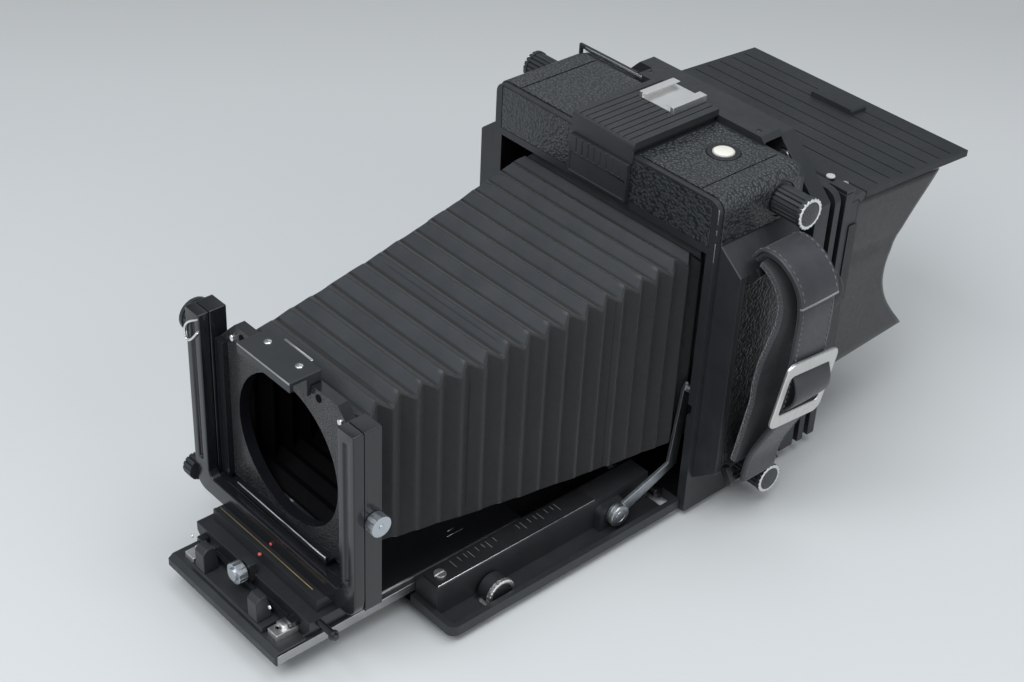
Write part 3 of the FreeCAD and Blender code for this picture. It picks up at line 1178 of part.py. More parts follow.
def make_stand():
    """The standard's base: a block on the track, jaws round its rails, a foot, a bar and a post."""
    body = prism("stand_profile", "XZ", (
        ("-stand_neck", "stand_low"),
        ("stand_neck", "stand_low"),
        ("stand_neck", "rail_height - stand_half + stand_neck"),
        ("stand_half", "rail_height + part_gap"),
        ("stand_half", "stand_high"),
        ("-stand_half", "stand_high"),
        ("-stand_half", "rail_height + part_gap"),
        ("-stand_neck", "rail_height - stand_half + stand_neck"),
    ), ("stand_first", "stand_last"))
    foot = block("stand_foot_block", ("-grip_half - grip_width", "grip_half + grip_width"),
                 ("stand_first - stand_foot_reach", "stand_first + 1"),
                 ("foot_low", "foot_low + stand_foot"))
    ears = []
    for side, sign in (("right", ""), ("left", "-")):
        ears.append(block(f"bar_ear_{side}", (f"{sign}lock_bar_half - 2", f"{sign}lock_bar_half + 2"),
                          ("stand_first - lock_bar_reach", "stand_first"),
                          ("stand_high - 2 - lock_bar_height", "stand_high - 2")))
    bar = block("lock_bar_block", ("-lock_bar_half - 2", "lock_bar_half + 2"),
                ("stand_first - lock_bar_reach - lock_bar_depth", "stand_first - lock_bar_reach"),
                ("stand_high - 2 - lock_bar_height", "stand_high - 2"))
    post = block("knob_post", ("-front_knob_post", "front_knob_post"),
                 ("stand_first - lock_bar_reach + part_gap", "stand_first + 1"),
                 ("stand_high - 3", "body_under + front_knob_level + front_knob_post"))
    keep(join("stand_body", body, foot, post), "standard_base")
    lever_level = "rail_height + scale_thickness + screw_height + part_gap + lever_radius"
    shaft = drum("lever_rod", "x", "lever_radius", ("stand_half + part_gap", "stand_half + lever_length"),
                 "stand_first + 5", lever_level, 12)
    flange = drum("lever_flange", "x", "lever_radius * 1.5",
                  ("stand_half + lever_length - 3", "stand_half + lever_length - 1.5"),
                  "stand_first + 5", lever_level, 12)
    keep(group("clamp_pieces", join("lock_bar_body", bar, *ears), join("lever_body", shaft, flange)),
         "clamp_levers")


def make_grips():
    """Two sprung pinch grips on the foot, and the cross-knurled knob between them."""
    for side, sign in (("right", 1), ("left", -1)):
        near, far = "grip_half - grip_width / 2", "grip_half + grip_width / 2"
        if sign < 0:
            near, far = "-grip_half - grip_width / 2", "-grip_half + grip_width / 2"
        low = "foot_low + stand_foot + part_gap"
        first = "stand_first - stand_foot_reach"
        keep(prism(f"grip_profile_{side}", "YZ", (
            (first, low),
            (f"{first} + grip_length", low),
            (f"{first} + grip_length", f"{low} + grip_height / 3"),
            (f"{first} + grip_length - grip_taper", f"{low} + grip_height"),
            (f"{first} + grip_taper", f"{low} + grip_height"),
            (first, f"{low} + grip_height - grip_taper"),
        ), (near, far)), f"pinch_grip_{side}")
    line = "stand_first - lock_bar_reach - lock_bar_depth - part_gap"
    level = "body_under + front_knob_level"
    grip = fluted("front_knob_grip", "y", "front_knob_radius", (f"{line} - front_knob_length", line), "0",
                  level, "small_flutes", "knob_flute / 2")
    stem = rod("front_knob_stem", "y", "front_knob_shaft", (line, "stand_first - lock_bar_reach"), "0",
               level)
    hub = drum("front_knob_hub", "y", "front_knob_radius * 0.62",
               (f"{line} - front_knob_length - 1", f"{line} - front_knob_length"), "0", level, 16)
    keep(join("front_knob_body", grip, hub, stem), "front_lock_knob")


def make_carriage():
    """The shift carriage, with the low scale strip along its front edge."""
    first = "front_face - carriage_front"
    body = prism("carriage_profile", "YZ", (
        (first, "stand_high + part_gap"),
        ("stand_last", "stand_high + part_gap"),
        ("stand_last", "carriage_high"),
        (f"{first} + scale_bar_width", "carriage_high"),
        (f"{first} + scale_bar_width", "carriage_high + scale_bar_height"),
        (first, "carriage_high + scale_bar_height"),
    ), ("-carriage_half", "carriage_half"))
    pin = rod("swing_pin", "z", "swing_pin_radius", ("carriage_high - 1", "foot_top"), "0", "swing_line")
    keep(join("carriage_body", body, pin), "shift_carriage")


def make_swing_frame():
    """The front U-shaped frame that swings on the carriage, with its foot and rounded lower corners."""
    blank = block("frame_blank", ("-frame_half", "frame_half"), ("frame_first", "frame_second"),
                  ("frame_base", "frame_peak"))
    blank = rounded("frame_rounded", blank, size("frame_round"), Y_WAY,
                    lambda p: p.z < size("frame_base") + 1)
    inside = block("frame_inside", ("-frame_half + frame_post", "frame_half - frame_post"),
                   ("frame_first - 1", "frame_second + 1"), ("sill_top", "frame_peak + 1"))
    inside = rounded("frame_inside_rounded", inside, size("frame_round") / 2, Y_WAY,
                     lambda p: p.z < size("sill_top") + 1)
    foot = block("swing_foot", ("-swing_foot_half", "swing_foot_half"), ("frame_second - 1", "rise_last"),
                 ("frame_base", "foot_top"))
    pivot = rod("swing_bore", "z", "swing_pin_radius + running_clearance",
                ("frame_base - 1", "foot_top + 1"), "0", "swing_line")
    slots = []
    for side, sign in (("right", ""), ("left", "-")):
        middle = f"{sign}(frame_half - frame_post / 2)"
        slots.append(block(f"frame_slot_{side}",
                           (f"{middle} - frame_slot_width / 2", f"{middle} + frame_slot_width / 2"),
                           ("frame_first - 1", "frame_first + frame_slot_depth"),
                           ("sill_top + 8", "frame_peak - 6")))
    body = cut("frame_cut", join("frame_body", cut("frame_u", blank, inside), foot), pivot, *slots)
    keep(body, "swing_frame")


def make_rise_frame():
    """The rear U-shaped frame that rises behind the first one and carries the lens frame's pivots."""
    blank = block("rise_blank", ("-frame_half", "frame_half"), ("rise_first", "rise_last"),
                  ("rise_low", "frame_peak"))
    inside = block("rise_inside", ("-frame_half + frame_post", "frame_half - frame_post"),
                   ("rise_first - 1", "rise_last + 1"), ("rise_low + rise_sill", "frame_peak + 1"))
    bore = rod("tilt_bore", "x", "tilt_pin_radius + running_clearance",
               ("-frame_half - 1", "frame_half + 1"),
               "tilt_line", "lens_centre")
    keep(cut("rise_cut", blank, inside, bore), "rise_frame")


def make_lens_frame():
    """The frame that takes the square lens board: opening, chamfered top, rims, bottom lip, pivots."""
    low, high = "body_under + lens_low", "body_under + lens_top"
    plate = prism("lens_profile", "XZ", (
        ("-lens_half", low),
        ("lens_half", low),
        ("lens_half", f"{high} - lens_chamfer"),
        ("lens_half - lens_chamfer", high),
        ("-lens_half + lens_chamfer", high),
        ("-lens_half", f"{high} - lens_chamfer"),
    ), ("lens_first", "lens_last"))
    ribs = []
    for side, span in (("right", ("lens_half - lens_rib", "lens_half")),
                       ("left", ("-lens_half", "-lens_half + lens_rib"))):
        ribs.append(block(f"lens_rib_{side}", span, ("lens_first - lens_rib_depth", "lens_first + 0.1"),
                          (low, f"{high} - lens_chamfer")))
    shelf = prism("lens_lip_profile", "YZ", (
        ("lens_first - lip_depth", low),
        ("lens_first + 0.1", low),
        ("lens_first + 0.1", f"{low} + lip_height"),
        ("lens_first - lip_depth + lip_height", f"{low} + lip_height"),
        ("lens_first - lip_depth + lip_height", f"{low} + lip_plate"),
        ("lens_first - lip_depth", f"{low} + lip_plate"),
    ), ("-lip_half", "lip_half"))
    opening = rod("lens_opening", "y", "lens_hole", ("lens_first - 1", "lens_last + 1"), "0", "lens_centre")
    pins = []
    for side, span in (("right", ("lens_half - 1", "frame_half + part_gap")),
                       ("left", ("-frame_half - part_gap", "-lens_half + 1"))):
        pins.append(rod(f"tilt_pin_{side}", "x", "tilt_pin_radius", span, "tilt_line", "lens_centre"))
    keep(cut("lens_cut", join("lens_body", plate, *ribs, shelf, *pins), opening), "lens_frame")
    first = "front_face - lock_front"
    peak = "body_under + lock_top"
    hook = prism("lock_profile", "YZ", (
        (first, f"{peak} - lock_hook - lock_thickness"),
        (f"{first} + lock_thickness", f"{peak} - lock_hook - lock_thickness"),
        (f"{first} + lock_thickness", f"{peak} - lock_thickness"),
        ("lens_first - part_gap - lock_thickness", f"{peak} - lock_thickness"),
        ("lens_first - part_gap - lock_thickness", f"{high} - lens_lock_drop"),
        ("lens_first - part_gap", f"{high} - lens_lock_drop"),
        ("lens_first - part_gap", f"{high} + part_gap"),
        ("lens_last", f"{high} + part_gap"),
        ("lens_last", peak),
        (first, peak),
    ), ("-lock_half", "lock_half"))
    keep(hook, "board_lock_plate")


def make_front_knobs():
    """The tilt knob on the right, and the rise and swing lock knobs on the left."""
    near = "frame_half + part_gap"
    far = f"{near} + tilt_knob_length"
    grip = fluted("tilt_knob_grip", "x", "tilt_knob_radius", (near, far), "tilt_line", "lens_centre",
                  "small_flutes", "knob_flute / 2")
    stud = rod("tilt_knob_stud", "x", "knob_stud", (far, f"{far} + 0.5"), "tilt_line", "lens_centre")
    keep(join("tilt_knob_body", grip, stud), "tilt_knob")
    line, level = "rise_first + rise_layer / 2", "body_under + rise_knob_level"
    far = f"{near} + rise_knob_length"
    grip = fluted("rise_knob_grip", "x", "rise_knob_radius - 0.5", (f"-({far} - 2)", f"-({near})"), line,
                  level, "knob_flutes", "knob_flute")
    rim = drum("rise_knob_rim", "x", "rise_knob_radius", (f"-({far})", f"-({far} - 2)"), line, level)
    stud = rod("rise_knob_stud", "x", "knob_stud", (f"-({far} + 0.5)", f"-({far})"), line, level)
    keep(join("rise_knob_body", grip, rim, stud), "rise_lock_knob")
    line, level = "frame_first + frame_layer / 2", "body_under + swing_knob_level"
    far = f"{near} + swing_knob_length"
    grip = fluted("swing_knob_grip", "x", "swing_knob_radius", (f"-({far})", f"-({near})"), line, level,
                  "small_flutes", "knob_flute")
    stud = rod("swing_knob_stud", "x", "knob_stud", (f"-({far} + 0.5)", f"-({far})"), line, level)
    keep(join("swing_knob_body", grip, stud), "swing_lock_knob")


def band(route, thickness, width):
    """A flat leather band along a route of (x, z) points: straight runs joined by tangent arcs."""
    points = [Vector(x, 0, z) for x, z in route]
    sides = ([], [])
    lasts = None
    for i, point in enumerate(points):
        before = (point - points[i - 1]) if i else (points[1] - point)
        after = (points[i + 1] - point) if i + 1 < len(points) else before
        shortest = min(before.Length, after.Length)
        before.normalize()
        after.normalize()
        turn = before.getAngle(after)
        setback = 0.45 * shortest if 0 < i < len(points) - 1 else 0.0
        start, finish = point - before * setback, point + after * setback
        middle_way = (before + after).normalize()
        middle = point
        if setback:
            centre_side = (after - before).normalize()
            radius = setback / math.tan(turn / 2)
            centre = point + centre_side * (radius / math.cos(turn / 2))
            middle = centre - centre_side * radius
        nows = []
        for shift in (thickness / 2, -thickness / 2):
            normals = [Vector(way.z, 0, -way.x) * shift for way in (before, middle_way, after)]
            nows.append((start + normals[0], middle + normals[1], finish + normals[2]))
        for side, now, number in zip(sides, nows, (0, 1)):
            if lasts:
                side.append(Part.makeLine(lasts[number], now[0]))
            if setback:
                side.append(Part.Arc(*now).toShape())
        lasts = [now[2] for now in nows]
        if i == 0:
            firsts = [now[0] for now in nows]
    edges = sides[0] + [Part.makeLine(lasts[0], lasts[1])] + sides[1][::-1] + [Part.makeLine(firsts[1],
                                                                                             firsts[0])]
    face = Part.Face(Part.Wire(Part.__sortEdges__(edges)))
    solid = face.extrude(Vector(0, width, 0))
    solid.translate(Vector(0, size("strap_line") - width / 2, 0))
    return solid


def make_strap():
    """The hand strap on the right: anchors, a broad inner pad, the bowed strap outside it and its buckle."""
    wall = size("housing_face")
    high, low = size("body_under") + size("anchor_high"), size("body_under") + size("anchor_low")
    thick, bow = size("strap_thickness"), wall + size("strap_bow")
    foot = size("anchor_side") + size("anchor_radius") + size("part_gap") + thick / 2

    def level(share):
        return low + share * (high - low)

    upper, lower = (bow, level(0.65)), (bow - size("strap_draw"), level(0.37))
    outer = [(wall - 0.5, high + 3.5), (wall + 3.6, high + 9.3), (wall + 12, high + 9),
             (wall + 20, high + 4.5),
             (bow - 1.2, high - 3), (bow + 0.6, high - 13), upper, lower, (foot + 7.2, low + 28),
             (foot + 1.6, low + 15), (foot, low)]
    keep(feature("strap_form", band(outer, thick, size("strap_width"))), "hand_strap")
    swell = wall + size("pad_bow")
    inner = [(wall + 4.8, high + 5.1), (wall + 11, high + 3.2), (wall + 17, high - 1.5),
             (swell - 0.2, high - 9),
             (swell, high - 18), (swell - 2.6, high - 29), (swell - 6, high - 42), (swell - 7.8, high - 57),
             (wall + 13, high - 65), (wall + 10.6, low + 42), (wall + 7, low + 26), (wall + 4, low + 12)]
    keep(feature("pad_form", band(inner, size("strap_pad_thickness"), size("strap_pad_width"))),
         "strap_pad")
    run = Vector(upper[0] - lower[0], 0, upper[1] - lower[1])
    share = (size("body_under") + size("buckle_level") - lower[1]) / run.z
    seat = Vector(lower[0], 0, lower[1]) + run * share
    run.normalize()
    seat += Vector(run.z, 0, -run.x) * (thick / 2 + size("part_gap"))
    pieces = []
    for level, middle, base, tip in (
        ("high", "body_under + anchor_high", "housing_top_edge", "1"),
        ("low", "body_under + anchor_low", "housing_low_edge", "(-1)"),
    ):
        pieces.append(drum(f"anchor_bar_{level}", "y", "anchor_radius",
                           ("strap_line - anchor_length / 2", "strap_line + anchor_length / 2"),
                           "anchor_side", middle, 12))
        for end, span in (
            ("front", ("strap_line - anchor_length / 2", "strap_line - anchor_length / 2 + anchor_foot")),
            ("rear", ("strap_line + anchor_length / 2 - anchor_foot", "strap_line + anchor_length / 2")),
        ):
            pieces.append(prism(f"anchor_foot_{level}_{end}", "XZ", (
                ("housing_face", f"{base} - {tip} * 3.4"),
                ("housing_face", f"{base} + {tip} * 0.1"),
                ("anchor_side - anchor_radius - anchor_lap", middle),
                ("anchor_side - anchor_radius / 2", f"{middle} + {tip} * (anchor_radius + anchor_lap)"),
                ("anchor_side + anchor_radius / 2", f"{middle} + {tip} * (anchor_radius + anchor_lap)"),
                ("anchor_side + anchor_radius + anchor_lap", middle),
                ("housing_face + 2.5", f"{base} - {tip} * 3.4"),
            ), span))
    high = join("anchor_high_body", *pieces[:3])
    low = join("anchor_low_body", *pieces[3:])
    keep(group("anchor_group", high, low), "strap_anchors")
    frame = block("buckle_blank", ("0", "buckle_thickness"), ("-buckle_width / 2", "buckle_width / 2"),
                  ("-buckle_height / 2", "buckle_height / 2"))
    hole = block("buckle_window", ("-1", "buckle_thickness + 1"),
                 ("-buckle_width / 2 + buckle_side", "buckle_width / 2 - buckle_side"),
                 ("-buckle_height / 2 + buckle_bar", "buckle_height / 2 - buckle_bar"))
    buckle = cut("buckle_cut", frame, hole)
    lean = math.degrees(math.atan2(run.x, run.z))
    turned = Rotation(Y_WAY, lean) * Rotation(Vector(1, 0, 0), -size("buckle_turn"))
    buckle.Placement = Placement(Vector(seat.x, size("strap_line"), seat.z), turned)
    keep(buckle, "strap_buckle")


def build():
    fill_sheet()
    make_casing()
    make_leather()
    make_cover()
    make_catch()
    make_shoe()
    make_level()
    make_housings()
    make_bridge()
    make_knobs()
    make_rods()
    make_back()
    make_hood()
    make_bellows()
    make_bed()
    make_rails()
    make_struts()
    make_drive()
    make_track()
    make_stand()
    make_grips()
    make_carriage()
    make_swing_frame()
    make_rise_frame()
    make_lens_frame()
    make_front_knobs()
    make_strap()
    DOC.recompute()


def check():
    """Stops before anything is written if an object failed or a sub-part isn't sound."""
    failed = [thing.Name for thing in DOC.Objects if {"Invalid", "Error"} & set(thing.State)]
    if failed:
        raise RuntimeError(f"objects that failed: {failed}")
    for label, thing in NODES.items():
        shape = thing.Shape
        if shape.isNull() or not shape.isValid() or not shape.Solids or shape.Volume <= 0:
            raise RuntimeError(f"unsound sub-part: {label}")


def write():
    os.makedirs("parts", exist_ok=True)
    for label, thing in NODES.items():
        thing.Shape.exportStep(f"parts/{label}.step")
        print(f"{label}: {len(thing.Shape.Solids)} solids, {thing.Shape.Volume / 1000:.2f} cubic cm")
    print(f"{len(NODES)} sub-parts")


build()
check()
write()
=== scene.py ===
import bpy
import bmesh
import math
from mathutils import Matrix, Vector


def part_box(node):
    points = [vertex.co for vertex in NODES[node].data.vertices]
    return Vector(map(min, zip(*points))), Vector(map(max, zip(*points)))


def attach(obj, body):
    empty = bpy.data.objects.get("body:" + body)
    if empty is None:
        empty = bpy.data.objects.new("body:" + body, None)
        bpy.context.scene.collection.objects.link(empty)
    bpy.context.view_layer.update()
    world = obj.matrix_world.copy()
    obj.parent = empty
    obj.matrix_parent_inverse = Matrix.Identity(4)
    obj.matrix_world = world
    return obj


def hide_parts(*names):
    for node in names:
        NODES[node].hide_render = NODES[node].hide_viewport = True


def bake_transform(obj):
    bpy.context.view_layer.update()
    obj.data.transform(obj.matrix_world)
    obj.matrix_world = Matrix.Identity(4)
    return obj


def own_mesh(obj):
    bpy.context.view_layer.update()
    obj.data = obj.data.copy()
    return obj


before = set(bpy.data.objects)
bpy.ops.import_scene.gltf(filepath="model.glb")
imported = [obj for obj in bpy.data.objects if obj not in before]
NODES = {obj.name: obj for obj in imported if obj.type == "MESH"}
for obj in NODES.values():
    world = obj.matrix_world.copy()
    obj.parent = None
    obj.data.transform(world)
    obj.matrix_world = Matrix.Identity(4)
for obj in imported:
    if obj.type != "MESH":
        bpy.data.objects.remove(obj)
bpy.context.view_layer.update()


# Places below are in millimetres from the casing's front plane (y) and underside (z).
FRONT_SHIFT, LIFT = -28.5, 3.0
SIDES = (("right", 1), ("left", -1))


def mm(x, y, z):
    return Vector((x / 1000, (y + FRONT_SHIFT) / 1000, (z + LIFT) / 1000))


def node_box(name):
    """A CAD node's box in the millimetres used below."""
    shift = Vector((0, FRONT_SHIFT, LIFT))
    return [corner * 1000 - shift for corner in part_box(name)]


# Materials
COAT_ROUGHNESS = 0.18
FINE_TO_BROAD = 9


def new_material(name, color, roughness, metallic=0.0, coat=0.0, specular=0.5):
    mat = bpy.data.materials.new(name)
    mat.use_nodes = True
    tree = mat.node_tree
    shader = tree.nodes["Principled BSDF"]
    values = {"Base Color": (*color, 1.0), "Roughness": roughness, "Metallic": metallic,
              "Coat Weight": coat, "Coat Roughness": COAT_ROUGHNESS, "Specular IOR Level": specular}
    for socket, value in values.items():
        shader.inputs[socket].default_value = value
    return mat, tree, shader


def node(tree, kind, **inputs):
    made = tree.nodes.new(kind)
    for name, value in inputs.items():
        made.inputs[name.replace("_", " ")].default_value = value
    return made


def place_vector(tree, stretch=(1, 1, 1)):
    coord = tree.nodes.new("ShaderNodeTexCoord")
    mapping = tree.nodes.new("ShaderNodeMapping")
    mapping.inputs["Scale"].default_value = stretch
    tree.links.new(coord.outputs["Object"], mapping.inputs["Vector"])
    return mapping.outputs["Vector"]


def noise(tree, vector, scale, detail=3.0, rough=0.55):
    made = node(tree, "ShaderNodeTexNoise", Scale=scale, Detail=detail, Roughness=rough)
    tree.links.new(vector, made.inputs["Vector"])
    return made.outputs["Fac"]


def ramp(tree, source, stops):
    made = tree.nodes.new("ShaderNodeValToRGB")
    while len(made.color_ramp.elements) < len(stops):
        made.color_ramp.elements.new(0.5)
    for element, (place, color) in zip(made.color_ramp.elements, stops):
        element.position = place
        element.color = (*color, 1.0) if hasattr(color, "__len__") else (color, color, color, 1.0)
    tree.links.new(source, made.inputs["Fac"])
    return made.outputs["Color"]


def bump(tree, shader, height, distance, strength=1.0):
    made = node(tree, "ShaderNodeBump", Strength=strength, Distance=distance)
    tree.links.new(height, made.inputs["Height"])
    if shader.inputs["Normal"].links:
        tree.links.new(shader.inputs["Normal"].links[0].from_socket, made.inputs["Normal"])
    tree.links.new(made.outputs["Normal"], shader.inputs["Normal"])


def vary(tree, shader, vector, color, spread, rough, rough_spread, scale):
    """Uneven colour and shine over a few centimetres and over a millimetre."""
    low = tuple(max(0.0, c - spread) for c in color)
    high = tuple(c + spread for c in color)
    broad = noise(tree, vector, scale, 4.0)
    tree.links.new(ramp(tree, broad, [(0.3, low), (0.7, high)]), shader.inputs["Base Color"])
    fine = noise(tree, vector, scale * FINE_TO_BROAD, 3.0)
    tree.links.new(ramp(tree, fine, [(0.25, rough - rough_spread), (0.75, rough + rough_spread)]),
                   shader.inputs["Roughness"])


def enamel(name, color, rough, grain=0.00003, scale=1400, coat=0.0, specular=0.5):
    mat, tree, shader = new_material(name, color, rough, coat=coat, specular=specular)
    vector = place_vector(tree)
    vary(tree, shader, vector, color, color[0] * 0.22, rough, 0.06, 28)
    bump(tree, shader, noise(tree, vector, scale, 2.0), grain)
    return mat


def metal(name, color, rough, stretch=(1, 1, 1), grain=0.00002):
    mat, tree, shader = new_material(name, color, rough, metallic=1.0)
    vector = place_vector(tree, stretch)
    vary(tree, shader, vector, color, 0.035, rough, 0.07, 60)
    bump(tree, shader, noise(tree, vector, 900, 3.0), grain)
    return mat


def cell_distance(tree, vector, scale, warp_scale, warp_reach):
    """Distances in a field of cells whose rows are bent a little, so that no grid shows."""
    warp = node(tree, "ShaderNodeTexNoise", Scale=warp_scale, Detail=2.0)
    tree.links.new(vector, warp.inputs["Vector"])
    shift = node(tree, "ShaderNodeVectorMath")
    shift.operation = "SCALE"
    shift.inputs["Scale"].default_value = warp_reach
    tree.links.new(warp.outputs["Color"], shift.inputs["Vector"])
    added = node(tree, "ShaderNodeVectorMath")
    tree.links.new(vector, added.inputs[0])
    tree.links.new(shift.outputs["Vector"], added.inputs[1])
    cells = node(tree, "ShaderNodeTexVoronoi", Scale=scale, Randomness=1.0)
    tree.links.new(added.outputs["Vector"], cells.inputs["Vector"])
    return cells.outputs["Distance"]


def pebbled(name, color, rough, depth):
    """Grained leather: rounded pebbles under 2 mm across, between creases."""
    mat, tree, shader = new_material(name, color, rough, coat=0.25)
    vector = place_vector(tree)
    distance = cell_distance(tree, vector, 640.0, 300.0, 0.0005)
    height = ramp(tree, distance, [(0.0, 1.0), (0.3, 0.9), (0.55, 0.45), (0.8, 0.0)])
    # Painted highlight and shade: the pebbles' middles are lighter and the creases between them darker
    low, high = tuple(c * 0.45 for c in color), tuple(c * 1.35 for c in color)
    tree.links.new(ramp(tree, distance, [(0.3, high), (0.75, low)]), shader.inputs["Base Color"])
    fine = noise(tree, vector, 240, 3.0)
    tree.links.new(ramp(tree, fine, [(0.3, rough - 0.07), (0.7, rough + 0.09)]),
                   shader.inputs["Roughness"])
    bump(tree, shader, height, depth)
    bump(tree, shader, noise(tree, vector, 3000, 2.0), 0.00002)
    return mat


def soft_leather(name, color, rough, grain=2600.0, depth=0.00005, sheen=0.15, wave=0.00018):
    mat, tree, shader = new_material(name, color, rough)
    shader.inputs["Sheen Weight"].default_value = sheen
    shader.inputs["Sheen Roughness"].default_value = 0.4
    vector = place_vector(tree)
    vary(tree, shader, vector, color, color[0] * 0.3, rough, 0.07, 45)
    cells = node(tree, "ShaderNodeTexVoronoi", Scale=grain)
    tree.links.new(vector, cells.inputs["Vector"])
    bump(tree, shader, cells.outputs["Distance"], depth)
    bump(tree, shader, noise(tree, vector, 260, 4.0), wave, 0.5)
    return mat


def crinkle(name, color, rough):
    """Wrinkle-finish enamel: shiny beads of paint about a millimetre apart."""
    mat, tree, shader = new_material(name, color, rough, coat=0.5)
    vector = place_vector(tree)
    distance = cell_distance(tree, vector, 1000.0, 700.0, 0.0003)
    height = ramp(tree, distance, [(0.0, 1.0), (0.3, 0.8), (0.75, 0.0)])
    # Painted highlight and shade: the beads' middles are lighter and the hollows between them darker
    low, high = tuple(c * 0.4 for c in color), tuple(c * 1.8 for c in color)
    tree.links.new(ramp(tree, distance, [(0.2, high), (0.7, low)]), shader.inputs["Base Color"])
    bump(tree, shader, height, 0.0008)
    bump(tree, shader, noise(tree, vector, 1900, 3.0), 0.0001)
    return mat


def glassy(name, color, rough, mix):
    mat, tree, shader = new_material(name, color, rough)
    shader.inputs["Transmission Weight"].default_value = mix
    shader.inputs["IOR"].default_value = 1.46
    vector = place_vector(tree)
    bump(tree, shader, noise(tree, vector, 5200, 2.0), 0.00002)
    fine = noise(tree, vector, 700, 2.0)
    tree.links.new(ramp(tree, fine, [(0.3, max(0.0, rough - 0.03)), (0.7, rough + 0.03)]),
                   shader.inputs["Roughness"])
    return mat


# The kinds of finish, by the short names used below
M = {
    "enamel": enamel("satin_black_enamel", (0.0185, 0.0200, 0.0222), 0.42),
    "plate": enamel("matt_black_plate", (0.011, 0.0118, 0.0132), 0.46, 0.00005, 1800),
    "lid": enamel("satin_black_lid", (0.0200, 0.0215, 0.0240), 0.50, 0.00004, 1900, specular=0.4),
    "gloss": enamel("gloss_black_enamel", (0.010, 0.0104, 0.0125), 0.20, 0.00001, 700, coat=0.3,
                    specular=0.4),
    "satin": enamel("satin_black_plastic", (0.0215, 0.0230, 0.0252), 0.42, 0.00004, 2200),
    # dark: near-black with almost no shine: painted shade in holes and slots, and black painted darker as
    # shade on the casing's inside and the bellows' lining
    "dark": enamel("matt_black_and_painted_shade", (0.002, 0.002, 0.0023), 0.85, 0.00005, 1500, specular=0.1),
    "leather": pebbled("pebbled_leather", (0.0245, 0.0268, 0.0285), 0.34, 0.00040),
    "pad_leather": pebbled("side_pad_leather", (0.013, 0.0135, 0.0142), 0.42, 0.00030),
    "strap": soft_leather("strap_leather", (0.028, 0.0285, 0.033), 0.46, 2400.0, 0.00006),
    "suede": soft_leather("strap_pad_leather", (0.012, 0.0125, 0.0135), 0.72, 2600.0, 0.0001, 0.12),
    "suede_edge": soft_leather("strap_pad_edge", (0.036, 0.038, 0.041), 0.8, 900.0, 0.0007, 0.3),
    # cut_edge_highlight: pale leather for the layer's cut end, painted paler still as a highlight along its
    # rim
    "cut_edge_highlight": soft_leather("strap_cut_edge_highlight", (0.20, 0.20, 0.21), 0.6, 2200.0, 0.0001, 0.2),
    "bellows": soft_leather("bellows_skin", (0.0200, 0.0222, 0.0253), 0.54, 3300.0, 0.00005, 0.2, 0.0001),
    # bellows_side_shade: a darker copy of the bellows skin, painted shade on the bellows' sides
    "bellows_side_shade": soft_leather("bellows_side_shade_skin", (0.0055, 0.0062, 0.0074), 0.58, 3300.0, 0.00005,
                                 0.08, 0.0001),
    # fold: a darker copy of the bellows skin, painted shade on the folds' rear flanks and near their
    # valleys
    "fold_shade": soft_leather("bellows_fold_shade", (0.0052, 0.0058, 0.0068), 0.6, 3300.0, 0.00005, 0.1, 0.0001),
    "cloth": soft_leather("hood_leathercloth", (0.021, 0.021, 0.0215), 0.50, 2100.0, 0.00004, 0.2),
    "crinkle": crinkle("crinkle_enamel", (0.015, 0.0158, 0.0175), 0.30),
    "nickel": metal("bright_nickel", (0.88, 0.875, 0.86), 0.36),
    "satin_chrome": metal("satin_chrome", (0.50, 0.53, 0.56), 0.36),
    "chrome": metal("polished_chrome", (0.82, 0.82, 0.83), 0.16),
    "brushed": metal("brushed_steel", (0.68, 0.67, 0.65), 0.36, (1, 14, 1), 0.00004),
    "dull": metal("dull_steel", (0.42, 0.42, 0.43), 0.38),
    "dark_steel": metal("blackened_steel", (0.10, 0.10, 0.105), 0.34),
    "brass": metal("brass", (0.72, 0.52, 0.26), 0.28),
    "gold": metal("scale_brass", (0.55, 0.40, 0.20), 0.36),
    "red": enamel("index_red", (0.60, 0.02, 0.015), 0.4),
    "white": enamel("engraved_white", (0.50, 0.50, 0.50), 0.55),
    "ivory": enamel("level_plate", (0.72, 0.70, 0.62), 0.45),
    "grey": enamel("engraved_grey", (0.16, 0.165, 0.17), 0.55),
    "thread": soft_leather("stitch_thread", (0.10, 0.10, 0.10), 0.62, 5200.0, 0.00004, 0.3),
    "frosted": glassy("ground_glass_face", (0.78, 0.80, 0.80), 0.62, 0.72),
    "vial": glassy("level_vial_glass", (0.86, 0.86, 0.80), 0.05, 0.55),
}


# CAD pieces keep their shape
WELD_REACH = 0.000002
EDGE_ANGLE = 35.0


def dress(name, main, rules, edge):
    """Gives a CAD node its materials by place, and softens its edges as the machined ones are."""
    obj = NODES[name]
    mesh = obj.data
    mesh.materials.clear()
    for key in [main] + [rule[1] for rule in rules]:
        mesh.materials.append(M[key])
    for face in mesh.polygons:
        middle, normal = face.center * 1000, face.normal
        spot = Vector((middle.x, middle.y - FRONT_SHIFT, middle.z - LIFT))
        face.material_index = 0
        for index, (test, _) in enumerate(rules, 1):
            if test(spot, normal):
                face.material_index = index
        face.use_smooth = True
    weld = obj.modifiers.new("weld", "WELD")
    weld.merge_threshold = WELD_REACH
    if edge:
        bevel = obj.modifiers.new("soft_edges", "BEVEL")
        bevel.width = edge / 1000
        bevel.segments = 2
        bevel.limit_method = "ANGLE"
        bevel.angle_limit = math.radians(EDGE_ANGLE)
        bevel.use_clamp_overlap = True
        bevel.miter_outer = "MITER_ARC"
    flat = obj.modifiers.new("flat_faces", "WEIGHTED_NORMAL")
    flat.keep_sharp = True
    flat.weight = 90


def new_object(name, data):
    obj = bpy.data.objects.new(name, data)
    bpy.context.scene.collection.objects.link(obj)
    return obj


